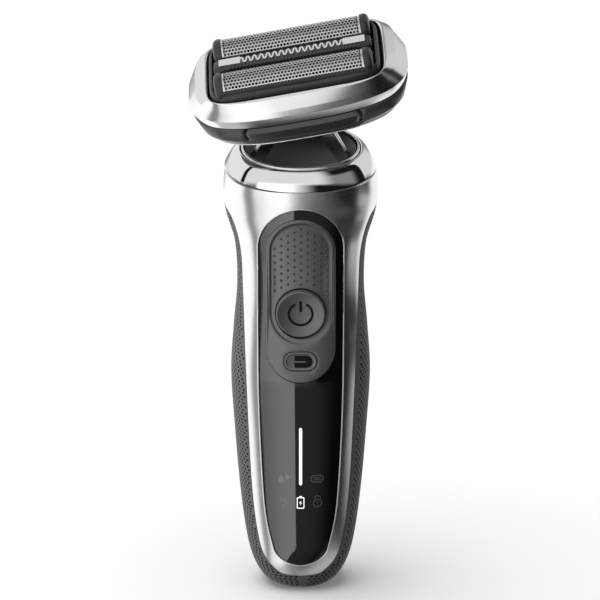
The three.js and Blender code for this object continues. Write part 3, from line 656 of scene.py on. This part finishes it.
def button_plate():
    def outer(d):
        return pill(9.75 - d, 65.75 + d, 112.55 - d)

    def recess(d):
        return pill(8.5 + d, 76.9 - d, 111.4 + d)

    def mode(d):
        return rounded(4.75 + d, 2.85 + d, 2.8 + d, 0, MODE_Z, 10)

    dish = [(7.2 * cos(2 * PI * k / 72), 85.4 + 7.25 * sin(2 * PI * k / 72))
            for k in range(72)]
    parts = [
        wall_rows([(outer(0), 1.6), (outer(0), 0.25), (outer(0.1), 0.08), (outer(0.28), -0.03),
                   (outer(0.5), PLATE_FACE)]),
        surface_patch(outer(0.5), [recess(0.35), mode(0.15)], PLATE_FACE),
        wall_rows([(recess(0.35), PLATE_FACE), (recess(0.15), -0.02), (recess(0.02), 0.1),
                   (recess(-0.12), 0.42), (recess(-0.35), 0.56), (recess(-0.6), RECESS_FACE)]),
        surface_patch(recess(-0.6), [dish], RECESS_FACE),
        wall_rows([(dish, RECESS_FACE), (dish, 1.4)]),
        wall_rows([(mode(0.15), PLATE_FACE), (mode(0.03), -0.01), (mode(0), 0.12), (mode(0), 0.9)]),
    ]
    finish_mesh("control_plate", *merge(parts), "grey", "handle", replaces=["button_plate"],
                angle=50)
    # Dots in the recess, in a darker grey that is painted shade for their shadows.
    points, faces = [], []
    for column in range(-4, 5):
        z = 91.7 + (1.0 if column % 2 else 0.0)
        while z < 110.5:
            x = column * DOT_COLUMN
            inside = (x / 7.5)**2 + (max(0, z - 102.9) / 7.3)**2 < 1
            if inside and hypot(x, z - POWER_Z) > 8.0:
                place = Vector(at_xz(x, z, RECESS_FACE))
                base = len(points)
                for ring_radius, out in ((0.42, -0.08), (0.34, 0.14), (0.16, 0.22)):
                    for j in range(10):
                        a = j * PI / 5
                        points.append((place.x + ring_radius * cos(a), place.y - out,
                                       place.z + ring_radius * sin(a)))
                for r in (0, 10):
                    faces += [(base + r + j, base + r + (j + 1) % 10, base + r + 10 + (j + 1) % 10,
                               base + r + 10 + j) for j in range(10)]
                faces.append(tuple(base + 20 + j for j in range(10)))
            z += DOT_ROW
    finish_mesh("plate_dots", points, faces, "grey_dot_shade", "handle", angle=80)


def lathe(profile, count=96):
    """Rings about the local Y axis; profile rows are radius and distance along Y."""
    return [[(r * cos(2 * PI * i / count), y, r * sin(2 * PI * i / count))
             for i in range(count)] for r, y in profile]


def arc_ribbon(radius, width, start, end, low, high, steps=40):
    """Flat curved bar in X and Z about the origin, from angle start to end, low to high in Y."""
    outer, inner = (circle(radius + d, start, end, steps) for d in (width / 2, -width / 2))
    rows = upright([(outer, low), (outer, high), (inner, high), (inner, low)])
    points, faces = skin(rows, closed_rows=True, closed_columns=False)
    n = steps + 1
    faces += [(0, n, 2 * n, 3 * n), (3 * n + steps, 2 * n + steps, n + steps, steps)]
    return points, faces


def buttons():
    at_power = shift(0, -15.5, POWER_Z) @ turn("X", 5)
    profile = [(0.01, 0.7), (1.2, 0.68), (2.4, 0.62), (3.6, 0.5), (4.8, 0.3), (5.7, 0.1),
               (6.25, -0.05), (6.55, -0.12), (6.75, -0.08), (6.9, 0.08), (6.9, 1.6), (0.01, 1.6)]
    lofted("power_dish", lathe(profile), "grey", "power_button", at_power, ends=False,
           replaces=["power_button"], angle=50)
    bar = prism(rounded(0.36, 1.7, 0.35, 0, 2.3), 0.45, 0.75, "y")
    ring = arc_ribbon(3.3, 0.66, 118, 422, 0.44, 0.7)
    finish_mesh("power_symbol", *merge([ring, bar]), "ink", "power_button", at_power,
                angle=40)
    at_mode = shift(0, -16.9, MODE_Z)
    rim = [rounded(4.6 - d, 2.7 - d, 2.69 - d, steps=12) for d in (0, 0, 0.15, 0.5, 0.65, 0.8)]
    rows = upright(zip(rim, (1.7, 0.1, -0.05, -0.05, 0.1, 0.12)))
    lofted("mode_rim", rows, "grey", "mode_button", at_mode, replaces=["mode_button"],
           angle=50)
    inlay = [(-1.7, -1.75), (1.6, -1.75), *circle(1.75, -80, 80, 16, 1.6), (1.6, 1.75),
             (-1.7, 1.75)]
    finish_mesh("mode_inlay", *prism(inlay, -0.02, 0.06, "y"), "ink", "mode_button", at_mode,
                angle=40)
    slot_bar = prism(rounded(1.6, 0.2, 0.19, -0.1, 0.0), -0.05, 0.0, "y")
    finish_mesh("mode_mark", *slot_bar, "grey", "mode_button", at_mode, angle=40)


def flat_sign(outline, inset=0.18, lift=0.03, x=0.0, z=0.0):
    """A thin plate on the panel's surface with the given outline in X and Z."""
    top = [at_xz(x + a, z + b, inset - lift) for a, b in outline]
    bottom = [at_xz(x + a, z + b, inset + 0.05) for a, b in outline]
    points, faces = skin([bottom, top])
    cap(points, faces, list(range(len(outline), 2 * len(outline))))
    return points, faces


def ribbon_edges(path, width, closed=False):
    """The two edges of a flat ribbon along a path."""
    left, right = [], []
    for i, p in enumerate(path):
        before = path[i - 1] if i or closed else p
        after = path[(i + 1) % len(path)] if i + 1 < len(path) or closed else p
        along = (after - before).normalized()
        side = Vector((-along.y, along.x)) * width / 2
        left.append(p + side)
        right.append(p - side)
    return left, right


def flat_line(path, width, x=0.0, z=0.0, closed=False):
    """A thin bar along a path in X and Z on the panel's surface."""
    left, right = ribbon_edges([Vector(p) for p in path], width, closed)
    rows = []
    for edge, inset in ((left, 0.23), (left, 0.15), (right, 0.15), (right, 0.23)):
        rows.append([at_xz(x + p.x, z + p.y, inset) for p in edge])
    return skin(rows, closed_rows=True, closed_columns=closed)


def circle(radius, start=0, end=360, steps=28, x=0.0, z=0.0):
    closed = end - start == 360
    count = steps if closed else steps + 1
    return [(x + radius * cos(radians(start + (end - start) * k / steps)),
             z + radius * sin(radians(start + (end - start) * k / steps)))
            for k in range(count)]


def drop(size):
    outline = []
    for k in range(28):
        a = 2 * PI * k / 28
        r = size * (1 + 0.75 * max(0, sin(a)) ** 6)
        outline.append((r * cos(a), r * sin(a)))
    return outline


def panel_signs():
    cup = [(-0.9, 0.5), (-0.9, -0.1), (-0.6, -0.7), (0, -1), (0.6, -0.7), (0.9, -0.1), (0.9, 0.5)]
    dim = [flat_sign(drop(0.85), x=-5.5, z=36.2), flat_sign(drop(0.6), x=-3.8, z=37.2)]
    strokes = [  # foil pack, plug, padlock: place, width, then paths and whether each is closed
        (4.7, 36.6, 0.3, [(rounded(1.7, 1.05, 0.9), True)]),
        (4.7, 36.6, 0.28, [([(-1.2, h), (1.2, h)], False) for h in (-0.32, 0.32)]),
        (-4.9, 29.4, 0.26, [(cup, True), ([(-0.5, 0.5), (-0.5, 1.5)], False),
                            ([(0.5, 0.5), (0.5, 1.5)], False), ([(0, -1), (0, -2.1)], False)]),
        (4.8, 29.4, 0.26, [(circle(1.15, z=-0.5), True), (circle(0.85, -20, 200, z=1.05), False),
                           ([(0, -0.9), (0, -0.1)], False)]),
    ]
    dim += [flat_line(path, width, x, z, closed) for x, z, width, paths in strokes
            for path, closed in paths]
    finish_mesh("panel_symbols", *merge(dim), "icon", "handle", angle=40)
    lit = [flat_line(rounded(0.95, 1.65, 0.12, steps=3), 0.24, 0, 29.1, closed=True),
           flat_sign(rounded(0.42, 0.16, 0.08, steps=3), z=31.05)]
    bolt = [(0.1, 0.75), (-0.36, -0.1), (-0.05, -0.1), (-0.12, -0.75), (0.36, 0.12), (0.05, 0.12)]
    lit += [flat_sign(bolt, z=29.1)]
    finish_mesh("panel_lamp", *merge(lit), "glow", "handle", angle=40)
    rows = []
    middle, half, radius = 43.5, 8.8, 0.42
    for k in range(41):
        z = middle - half * cos(PI * k / 40)
        beyond = max(0.0, abs(z - middle) - (half - radius))
        h = sqrt(max(0.0004, radius**2 - beyond**2))
        rows.append([at_xz(a, z, inset)
                     for a, inset in ((-h, 0.6), (-h, 0.17), (h, 0.17), (h, 0.6))])
    finish_mesh("charge_light", *skin(rows), "glow", "handle", replaces=["light_bar"],
                angle=40)


def panel_trim():
    """Fine polished line round the opening for the glossy panel."""
    half = [(0.0, PANEL_BOTTOM)] + [p for p in PANEL_CURVE if p[0] > 0.2 and p[1] < 103.6]
    centre = PANEL_TOP - PANEL_RADIUS
    half += [(PANEL_RADIUS * cos(a), centre + PANEL_RADIUS * sin(a))
             for a in np.linspace(0, PI / 2, 40)]
    path = half + [(-x, z) for x, z in half[-2:0:-1]]
    section = ((0.0, 0.5), (0.0, 0.05), (0.07, -0.06), (0.2, -0.08), (0.3, -0.03), (0.34, 0.1))
    rows = []
    for i, (x, z) in enumerate(path):
        before, after = Vector(path[i - 1]), Vector(path[(i + 1) % len(path)])
        along = (after - before).normalized()
        out = Vector((along.y, -along.x))
        rows.append([at_xz(x + out.x * d, z + out.y * d, inset) for d, inset in section])
    finish_mesh("panel_trim", *skin(rows, closed_rows=True, closed_columns=False), "chrome",
                "handle", slot="satin_metal", angle=75)


# ---- collar and neck

def collar():
    outer = [(0.14, 20.95, 17.25), (0.2, 21.25, 17.5), (0.6, 21.08, 17.38), (1.7, 20.5, 17.02),
             (3.2, 19.6, 16.45), (4.6, 18.45, 15.6), (5.25, 17.55, 14.95), (5.4, 17.15, 14.6),
             (5.3, 16.9, 14.4), (0.5, 16.9, 14.4)]
    lofted("chrome_collar", [oval(*row) for row in outer], "chrome", "handle", AT_COLLAR,
           closed=True, replaces=["collar_ring"], angle=60)
    rim = [(2.2, 16.6, 14.1), (5.4, 16.6, 14.1), (5.72, 16.45, 13.95), (5.85, 16.2, 13.7),
           (5.8, 15.95, 13.45), (2.2, 15.9, 13.4)]
    lofted("collar_rim", [oval(*row) for row in rim], "satin", "handle", AT_COLLAR, closed=True,
           replaces=["collar_bevel"], angle=60)
    bowl = [(-1.4, 3, 2.5), (-1.1, 9, 7.6), (0.2, 13, 10.9), (2.6, 15.6, 13.1), (4.85, 15.6, 13.1),
            (5.05, 15.45, 12.95), (4.9, 15.2, 12.7), (3.4, 14.3, 11.9), (1.6, 11.6, 9.6),
            (0.6, 7.6, 6.2), (0.25, 3, 2.5)]
    lofted("neck_bowl", [oval(*row) for row in bowl], "dish", "handle", AT_COLLAR,
           replaces=["neck_dish"], angle=60)


def neck_arms():
    """Two flat arms with a round outer rib, leaning in from the collar to the bored hub."""
    parts = []
    for side in (-1, 1):
        lean = turn("Y", -side * 30)
        plate = prism(rounded(1.8, 1.8, 0.35, steps=3), -28.2, -1)
        rib = prism([(side * 1.15 + 0.95 * cos(a * PI / 12), 0.95 * sin(a * PI / 12))
                     for a in range(24)], -28.2, -4)
        for points, faces in (plate, rib):
            parts.append(([tuple(lean @ Vector(p)) for p in points], faces))
    hub = lathe([(1.02, -1.8), (1.75, -1.8), (1.9, -1.65), (1.9, 1.65), (1.75, 1.8),
                 (1.02, 1.8)], 40)
    parts.append(skin(hub, closed_rows=True))
    finish_mesh("neck_arms", *merge(parts), "head_chrome", "handle", AT_PIVOT,
                replaces=["neck_yoke"], slot="steel", bevel=0.12, angle=40)


# ---- head

HEAD_POINTS = 200
KEY_EDGE = 16.0
TUB = [(-6.5, 22.9, 12.5), (-5.4, 26.3, 14.8), (-3.1, 28.6, 15.9), (1.1, 30.0, 16)]


def head_oval(z, half_width, half_depth, exponent=2.9):
    return oval(z, half_width, half_depth, exponent, HEAD_POINTS)


def pocket(z, half_width, half_depth):
    """A row of the tub, stepped in where the release keys lie."""
    row = []
    for x, y, _ in head_oval(z, half_width, half_depth):
        if abs(x) < KEY_EDGE:
            x = copysign(KEY_EDGE - 0.05, x) if abs(x) > KEY_EDGE - 0.7 else x
            y -= copysign(1.15, y)
        elif abs(x) < KEY_EDGE + 0.7:
            x = copysign(KEY_EDGE + 0.05, x)
        row.append((x, y, z))
    return row


def head_shells():
    def ring(z, drop, lift, w, d, front, back):
        """A row that dips at the front and rises at the back."""
        return [(x, y, z + (lift if y > 0 else -drop) * (y / d) ** 2)
                for x, y, _ in oval(z, w, d, front, HEAD_POINTS, back)]

    rows = [ring(1.4, 0, 0, 27.6, 14.6, 2.9, 3.2), ring(1.4, 0, 0, 29.5, 16.0, 2.9, 3.2),
            ring(4.3, 0.4, 0.4, 30.6, 16.2, 2.9, 3.4), ring(8.2, 2.55, 0.4, 27.9, 15.7, 3.3, 4.6),
            ring(9.4, 0.4, 0.5, 25.5, 14.2, 4.7, 6.6), ring(9.7, 0.25, 0.5, 24.8, 13.6, 5.6, 8),
            ring(9.4, 0.25, 0.5, 24.2, 13.25, 6.5, 8), ring(4.6, 0, 0, 24.2, 13.25, 6.5, 8)]
    lofted("chrome_head", soften(rows, 0.16), "head_chrome", "head", AT_HEAD, closed=True,
           replaces=["head_ring"], angle=80, facets=True)
    outside = [head_oval(*row) for row in TUB[:3]]
    outside += [pocket(*row) for row in [(-3.05, 28.62, 15.9)] + TUB[3:]]
    inside = [head_oval(*row) for row in ((1.1, 26.8, 13.6), (-3.1, 25.8, 13.5), (-5, 23.6, 12.2))]
    mouth = [head_oval(z, 10.5, 4.7, 4.5) for z in (-6.5, -5.0)]
    rows = mouth + [head_oval(-6.5, 21, 11)] + outside + inside + [head_oval(-5.0, 12, 6, 4)]
    lofted("head_tub", soften(rows + [rows[0]], 0.3), "base", "head", AT_HEAD, ends=False,
           replaces=["head_base"], angle=80)
    # A bright silver strip round the tub's lower rim: a painted highlight standing in for the rim's
    # glint.
    trim = [head_oval(*row) for row in ((-5.52, 26.25, 14.8), (-5.22, 26.62, 15.02),
                                        (-5.1, 26.5, 14.92), (-5.4, 26.1, 14.7))]
    lofted("tub_edge_painted_highlight", trim, "silver", "head", AT_HEAD, closed=True, angle=80)


def release_tab(side, label):
    """Press tab that follows the tub's curve, with a sloping upper lip below the chrome ring."""
    proud = [(-2.75, 28.6, 16.1), (-2.45, 28.95, 16.5), (-0.9, 29.6, 16.9), (0.2, 30.1, 17.1),
             (0.4, 30.0, 16.95), (1.25, 29.3, 16.1)]
    rows = []
    for k, (z, w, d) in enumerate(proud):
        row = []
        for i in range(61):
            t = i / 60 * 2 - 1
            x = t * (15.7 - (1.3, 0.7, 0.2, 0, 0.1, 0.9)[k])
            y = d * (1 - abs(x / w)**2.9) ** (1 / 2.9)
            end = max(0.0, abs(t) - 0.95) / 0.05
            row.append((x, side * (y - 0.3 * end**2), z))
        rows.append(row)
    finish_mesh(f"release_key_{label}", *skin(rows, closed_columns=False), "tab",
                f"release_{label}", AT_HEAD, replaces=[f"release_tab_{label}"],
                thick=0.34, bevel=0.1, angle=35, core=((0, 0, 0), (1, 0, 0)))


def foil(side, label):
    """Bent sheet with staggered slots, bright end bands and a dark frame round it."""
    y0, z0, radius, half = side * 7.7, 10.5, 4.15, 20.2
    skirt, margin = 0.28, 0.15  # how far past the half turn the sheet and its holes go
    bend = [-skirt + (PI + 2 * skirt) * k / 34 for k in range(35)]
    pitch, hole = 0.92, 0.43
    columns = int((2 * 18.9) / pitch)
    start = -columns * pitch / 2

    def wrap(x, a):
        if a < 0:
            return (x, y0 + radius, z0 + a * radius * 1.6)
        if a > PI:
            return (x, y0 - radius, z0 - (a - PI) * radius * 1.6)
        return (x, y0 + radius * cos(a), z0 + radius * sin(a))

    rows = 16
    step = (PI + 2 * margin) / rows
    around = [(-1, -1), (0, -1), (1, -1), (1, 0), (1, 1), (0, 1), (-1, 1), (-1, 0)]
    points, faces = [], []
    for r in range(rows):
        middle = -margin + (r + 0.5) * step
        offset = pitch / 2 if r % 2 else 0.0
        for c in range(columns):
            x = start + (c + 0.5) * pitch + offset
            if x + pitch / 2 > -start + 1e-6:
                continue
            base = len(points)
            for u, v in around:
                points.append(wrap(x + u * pitch / 2, middle + v * step / 2))
            for u, v in around:
                k = 0.74 if abs(u) + abs(v) == 2 else 1.0
                points.append(wrap(x + u * k * pitch * hole, middle + v * k * step * hole))
            faces += [(base + i, base + (i + 1) % 8, base + 8 + (i + 1) % 8, base + 8 + i)
                      for i in range(8)]
    parts = [(points, faces)]
    for end in (-1, 1):
        edge = [[wrap(end * x, a) for a in bend]
                for x in (-start - pitch * 0.05, -start + 0.35, half)]
        parts.append(skin(edge, closed_columns=False))
    for a0, a1 in ((-skirt, -margin), (PI + margin, PI + skirt)):
        band = [[wrap(x, a) for a in (a0, a1)] for x in (start, -start)]
        parts.append(skin(band, closed_columns=False))
    finish_mesh(f"foil_{label}_mesh", *merge(parts), "foil", f"foil_{label}", AT_HEAD,
                replaces=[f"foil_sheet_{label}"], thick=0.12, angle=60,
                core=((0, y0, z0), (1, 0, 0)))

    frame_parts, seat = [], 9.2
    for end in (-1, 1):
        stations = [(end * x, by) for x, by in ((19.3, 0.3), (19.5, 0.05), (20.5, 0.0),
                                                (21.1, 0.22), (21.55, 0.7), (21.8, 1.4))]
        outline = [(y0 + 4.15, seat), *arc(y0, z0 + 0.25, 4.3, 4.35, 0, PI, 25), (y0 - 4.15, seat)]
        frame_parts.append(capped(tapered(outline, y0, seat, stations, 4.3, 5.5)))
    for s in (-1, 1):
        outside = arc(y0, z0, s * 4.34, 4.34, 0, 0.42, 7)
        inside = arc(y0, z0, s * 4.0, 4.0, 0.46, 0, 7)
        frame_parts.append(prism([(y0 + s * 4.3, 7.3)] + outside + inside + [(y0 + s * 3.9, 7.3)],
                                 -20.3, 20.3, "x"))
    finish_mesh(f"foil_{label}_frame", *merge(frame_parts), "charcoal", f"foil_{label}", AT_HEAD,
                replaces=[f"foil_carrier_{label}"], angle=45)


def cassette():
    rows = [head_oval(z, 23.6 - inset, 12.9 - inset, 7) for z, inset in (
        (4.35, 0.4), (4.6, 0.12), (5, 0), (9.6, 0), (10.3, 0.06), (10.9, 0.3), (11.2, 0.75))]
    rows += [head_oval(z, w, d, 8) for z, w, d in ((11.1, 22.5, 12.3), (10.2, 22.35, 12.2),
                                                   (5.2, 22.3, 12.2))]
    lofted("cassette_shell", rows, "charcoal", "cassette", AT_HEAD,
           replaces=["cassette_frame"], angle=60)
    walls = [prism(rounded(22.1, 0.26, 0.1, 0, y, 2), 5.0, 10.4) for y in (-2.97, 2.97)]
    finish_mesh("cassette_walls", *merge(walls), "charcoal", "cassette", AT_HEAD,
                bevel=0.08, angle=40)


def trimmer():
    section = []
    for k in range(13):
        a = k / 12 * PI
        section.append((2.4 * copysign(abs(cos(a)) ** 0.55, cos(a)),
                        11.7 + 1.4 * sin(a) ** 0.7))
    seat = 7.2
    stations = [(-21.8, 0.9), (-21.6, 0.35), (-21.1, 0.0), (21.1, 0.0), (21.6, 0.35), (21.8, 0.9)]
    sections = tapered([(2.4, seat), *section, (-2.4, seat)], 0, seat, stations, 4, 8)
    lofted("trimmer_body", sections, "charcoal", "trimmer", AT_HEAD, replaces=["trimmer_carrier"],
           angle=45)
    fins = [prism(rounded(0.24, 0.62, 0.1, -17.2 + k * 0.98, -2.05, 2), 11.6, 13.05)
            for k in range(36)]
    finish_mesh("trimmer_fins", *merge(fins), "charcoal", "trimmer", AT_HEAD,
                bevel=0.05, angle=40)
    ends = [prism(rounded(3.0, 1.42, 0.14, end * 17.2, 0, 3), 13.05, 13.55) for end in (-1, 1)]
    count, span = 16, 28.8
    steps = count * 10
    centre = []
    for k in range(steps + 1):
        t = k / steps
        wave = sin(2 * PI * t * (count - 0.5))
        centre.append(Vector((-span / 2 + span * t, 1.12 * copysign(abs(wave) ** 0.7, wave))))
    left, right = ribbon_edges(centre, 0.46)
    rows = [[(p.x, p.y, z) for p in edge]
            for edge, z in ((left, 13.1), (left, 13.42), (right, 13.42), (right, 13.1))]
    wave_strip = skin(rows, closed_rows=True, closed_columns=False)
    finish_mesh("trimmer_teeth", *merge(ends + [wave_strip]), "silver", "trimmer", AT_HEAD,
                replaces=["trimmer_comb"], slot="blade_steel", bevel=0.05, angle=40)


# ---- carried-over nodes

KEPT = {
    "charcoal": ["chassis", "power_switch", "mode_switch", "charging_socket", "neck_mount",
                 "head_deck"],
    "board": ["circuit_board"],
    "cell": ["battery_cell"],
    "seal": ["seal_ring"],
    "copper": ["motor_left", "motor_right"],
    "brass": ["rear_contact_left", "rear_contact_right"],
    # the cutters' and trimmer blade's dark steel is painted shade inside the head
    "blade": ["foil_cutter_front", "foil_cutter_rear", "trimmer_blade"],
    "steel": ["battery_tab_top", "battery_tab_bottom", "gimbal_frame", "roll_pin",
              "drive_armature", *(f"board_screw_{i}" for i in range(1, 5)),
              *(f"drive_pin_{place}" for place in ("front", "middle", "rear")),
              *(f"{part}_{side}" for side in ("left", "right") for part in
                ("socket_pin", "pitch_pin", "foil_spring_front", "foil_spring_rear"))],
}

for mat_name, names in KEPT.items():
    for name in names:
        kept = frame["nodes"][name]
        kept.data.materials.clear()
        kept.data.materials.append(MAT[mat_name])

grip()
grip_dots()
front_bezel()
display_panel()
button_plate()
buttons()
panel_signs()
panel_trim()
collar()
neck_arms()
head_shells()
cassette()
trimmer()
for end in ((-1, "front"), (1, "rear")):
    release_tab(*end)
    foil(*end)


# ---- studio

SUBJECT = (0, 0, 0.08)


def dome(name, light, radius, segments, height, met_by):
    """A large glowing sphere that only one kind of ray meets."""
    bpy.ops.mesh.primitive_uv_sphere_add(segments=segments, ring_count=segments // 2,
                                         radius=radius, location=(0, 0, height))
    sphere = bpy.context.object
    sphere.name = name
    made = bpy.data.materials.new(light)
    made.use_nodes = True
    made.cycles.emission_sampling = "NONE"
    tree = made.node_tree
    tree.nodes.clear()
    glow = node(tree, "ShaderNodeEmission")
    tree.links.new(glow.outputs[0], node(tree, "ShaderNodeOutputMaterial").inputs[0])
    sphere.data.materials.append(made)
    for ray in ("camera", "diffuse", "glossy", "shadow", "transmission", "volume_scatter"):
        setattr(sphere, f"visible_{ray}", ray == met_by)
    return tree, glow


def reflection_dome():
    """A large sphere seen only in reflections, lit in soft-edged boxes by direction."""
    # Each box: azimuth from, to, soft edges; elevation from, to, soft edges; brightness.
    boxes = [
        # towards the floor: the handle's main highlight, its sharp end on the glossy panel
        (-54, -3.8, 6, 0.6, -54, -17, 12, 4, 0.95),
        (-32, -3.8, 44, 0.6, -54, -17, 12, 4, 0.5),
        (-3.8, 26, 0.6, 44, -54, -17, 12, 4, 0.13),
        # the same highlight nearer the horizon, with a slow fade to the right
        (-54, 1, 6, 36, -17, 4, 4, 8, 1.25),
        (-32, -8, 44, 20, -17, 0, 4, 10, 0.4),
        # outer left, past a darker band
        (-180, -148, 2, 16, -60, -12, 16, 6, 1.3),
        (-180, -148, 2, 16, -12, 2, 6, 6, 0.35),
        (-148, -74, 16, 8, -60, 2, 16, 6, 1.3),
        (-74, -54, 8, 6, -60, 2, 16, 6, 0.22),
        # outer right
        (114, 180, 22, 2, -60, 6, 16, 8, 1.1),
        (77, 114, 18, 22, -30, -14, 8, 8, 0.5),
        (46, 114, 24, 22, -70, -40, 14, 5, 0.5),
        # straight down, seen by the foot and the head's lower faces
        (-100, 30, 30, 60, -91, -56, 1, 14, 0.6),
        # above the horizon, seen by the collar
        (-180, -85, 2, 2, 3, 60, 6, 12, 0.9),
        (-77.5, 31, 2, 26, 3, 60, 6, 12, 0.82),
        (31, 76, 26, 16, 3, 27, 6, 8, 0.25),
        (97, 152, 4, 18, 6, 60, 8, 12, 0.75),
        (152, 180, 18, 2, 6, 60, 8, 12, 0.2),
        (-180, 180, 1, 1, 60, 91, 14, 1, 0.45),
    ]
    radius, degrees = 2.5, 180 / PI
    tree, glow = dome("reflection_dome", "dome_light", radius, 48, 0.1, "glossy")

    def m(operation, *values):
        return math_node(tree, operation, *values)

    where = node(tree, "ShaderNodeTexCoord").outputs["Object"]
    x, y, z = node(tree, "ShaderNodeSeparateXYZ", {"Vector": where}).outputs
    azimuth = m("MULTIPLY", m("ARCTAN2", x, m("MULTIPLY", y, -1.0)), degrees)
    elevation = m("MULTIPLY", m("ARCSINE", m("DIVIDE", z, radius)), degrees)

    # The sharp end of the highlight bends to the left low down.
    below = m("MAXIMUM", m("MULTIPLY_ADD", elevation, -1.0, -40.0), 0.0)
    azimuth = m("MULTIPLY_ADD", below, 2.0, azimuth)

    def edge(value, centre, soft, rising):
        low, high = centre - soft / 2, centre + soft / 2
        span = {"Value": value, "From Min": low, "From Max": high,
                "To Min": 0.0 if rising else 1.0, "To Max": 1.0 if rising else 0.0}
        return node(tree, "ShaderNodeMapRange", span, interpolation_type="SMOOTHSTEP").outputs[0]

    total = 0.01
    for a0, a1, sa0, sa1, e0, e1, se0, se1, level in boxes:
        value = m("MULTIPLY", edge(azimuth, a0, sa0, True), edge(azimuth, a1, sa1, False))
        value = m("MULTIPLY", value, edge(elevation, e0, se0, True))
        value = m("MULTIPLY", value, edge(elevation, e1, se1, False))
        total = m("MULTIPLY_ADD", value, level, total)
    tree.links.new(total, glow.inputs["Strength"])


def ambient_dome():
    """Even, dim light from all round, met only by diffuse rays."""
    _, glow = dome("ambient_dome", "ambient_light", 6, 24, 0, "diffuse")
    glow.inputs["Strength"].default_value = 0.22


def floor():
    bpy.ops.mesh.primitive_plane_add(size=40, location=(0, 0, 0))
    ground = bpy.context.object
    ground.name = "pale_floor"
    made = bpy.data.materials.new("floor_white")
    made.use_nodes = True
    shader = made.node_tree.nodes["Principled BSDF"]
    for key, value in (("Base Color", (0.93, 0.93, 0.93, 1)), ("Roughness", 0.9),
                       ("Specular IOR Level", 0.0), ("Emission Color", (1, 1, 1, 1)),
                       ("Emission Strength", 0.12)):
        shader.inputs[key].default_value = value
    ground.data.materials.append(made)
    ground.visible_glossy = False
    ground.visible_diffuse = False
    return ground


def put(name, data, place):
    """Adds a lamp or camera that stands at a place and faces the object."""
    made = bpy.data.objects.new(name, data)
    SCENE.collection.objects.link(made)
    made.location = place
    made.rotation_euler = (Vector(SUBJECT) - Vector(place)).to_track_quat("-Z", "Y").to_euler()
    return made


def softbox(name, place, width, height, power_watts, spared):
    lamp = bpy.data.lights.new(name, "AREA")
    lamp.shape = "RECTANGLE"
    lamp.size, lamp.size_y = width, height
    lamp.energy = power_watts
    made = put(name, lamp, place)
    made.visible_glossy = False
    made.visible_camera = False
    made.light_linking.receiver_collection = spared


def studio():
    world = bpy.data.worlds.new("studio")
    SCENE.world = world
    world.use_nodes = True
    background = world.node_tree.nodes["Background"]
    background.inputs["Color"].default_value = (1, 1, 1, 1)
    background.inputs["Strength"].default_value = 1.0
    world.cycles_visibility.glossy = False
    world.cycles_visibility.diffuse = False
    # The softboxes light the object and leave the floor to the overhead light.
    spared = bpy.data.collections.new("floor_without_softboxes")
    spared.objects.link(floor())
    spared.collection_objects[0].light_linking.link_state = "EXCLUDE"
    softbox("key", (-1.1, -0.55, 0.5), 0.7, 1.1, 17, spared)
    softbox("front", (-0.25, -1.2, 0.75), 0.5, 0.5, 5, spared)
    sky = bpy.data.lights.new("above", "SUN")
    sky.energy = 2.5
    sky.angle = radians(56)
    overhead = bpy.data.objects.new("above", sky)
    SCENE.collection.objects.link(overhead)
    overhead.rotation_euler = (0, radians(-12), 0)
    overhead.visible_glossy = False
    ambient_dome()
    reflection_dome()


def camera():
    lens = bpy.data.cameras.new("camera")
    lens.sensor_width = 36
    lens.lens = 158.26
    lens.shift_x = -0.001
    lens.shift_y = 0.0279
    SCENE.camera = put("camera", lens, (0, -0.71723, 0.29928))


studio()
camera()
SCENE.view_settings.view_transform = "Standard"
SCENE.view_settings.look = "None"

bpy.context.view_layer.update()
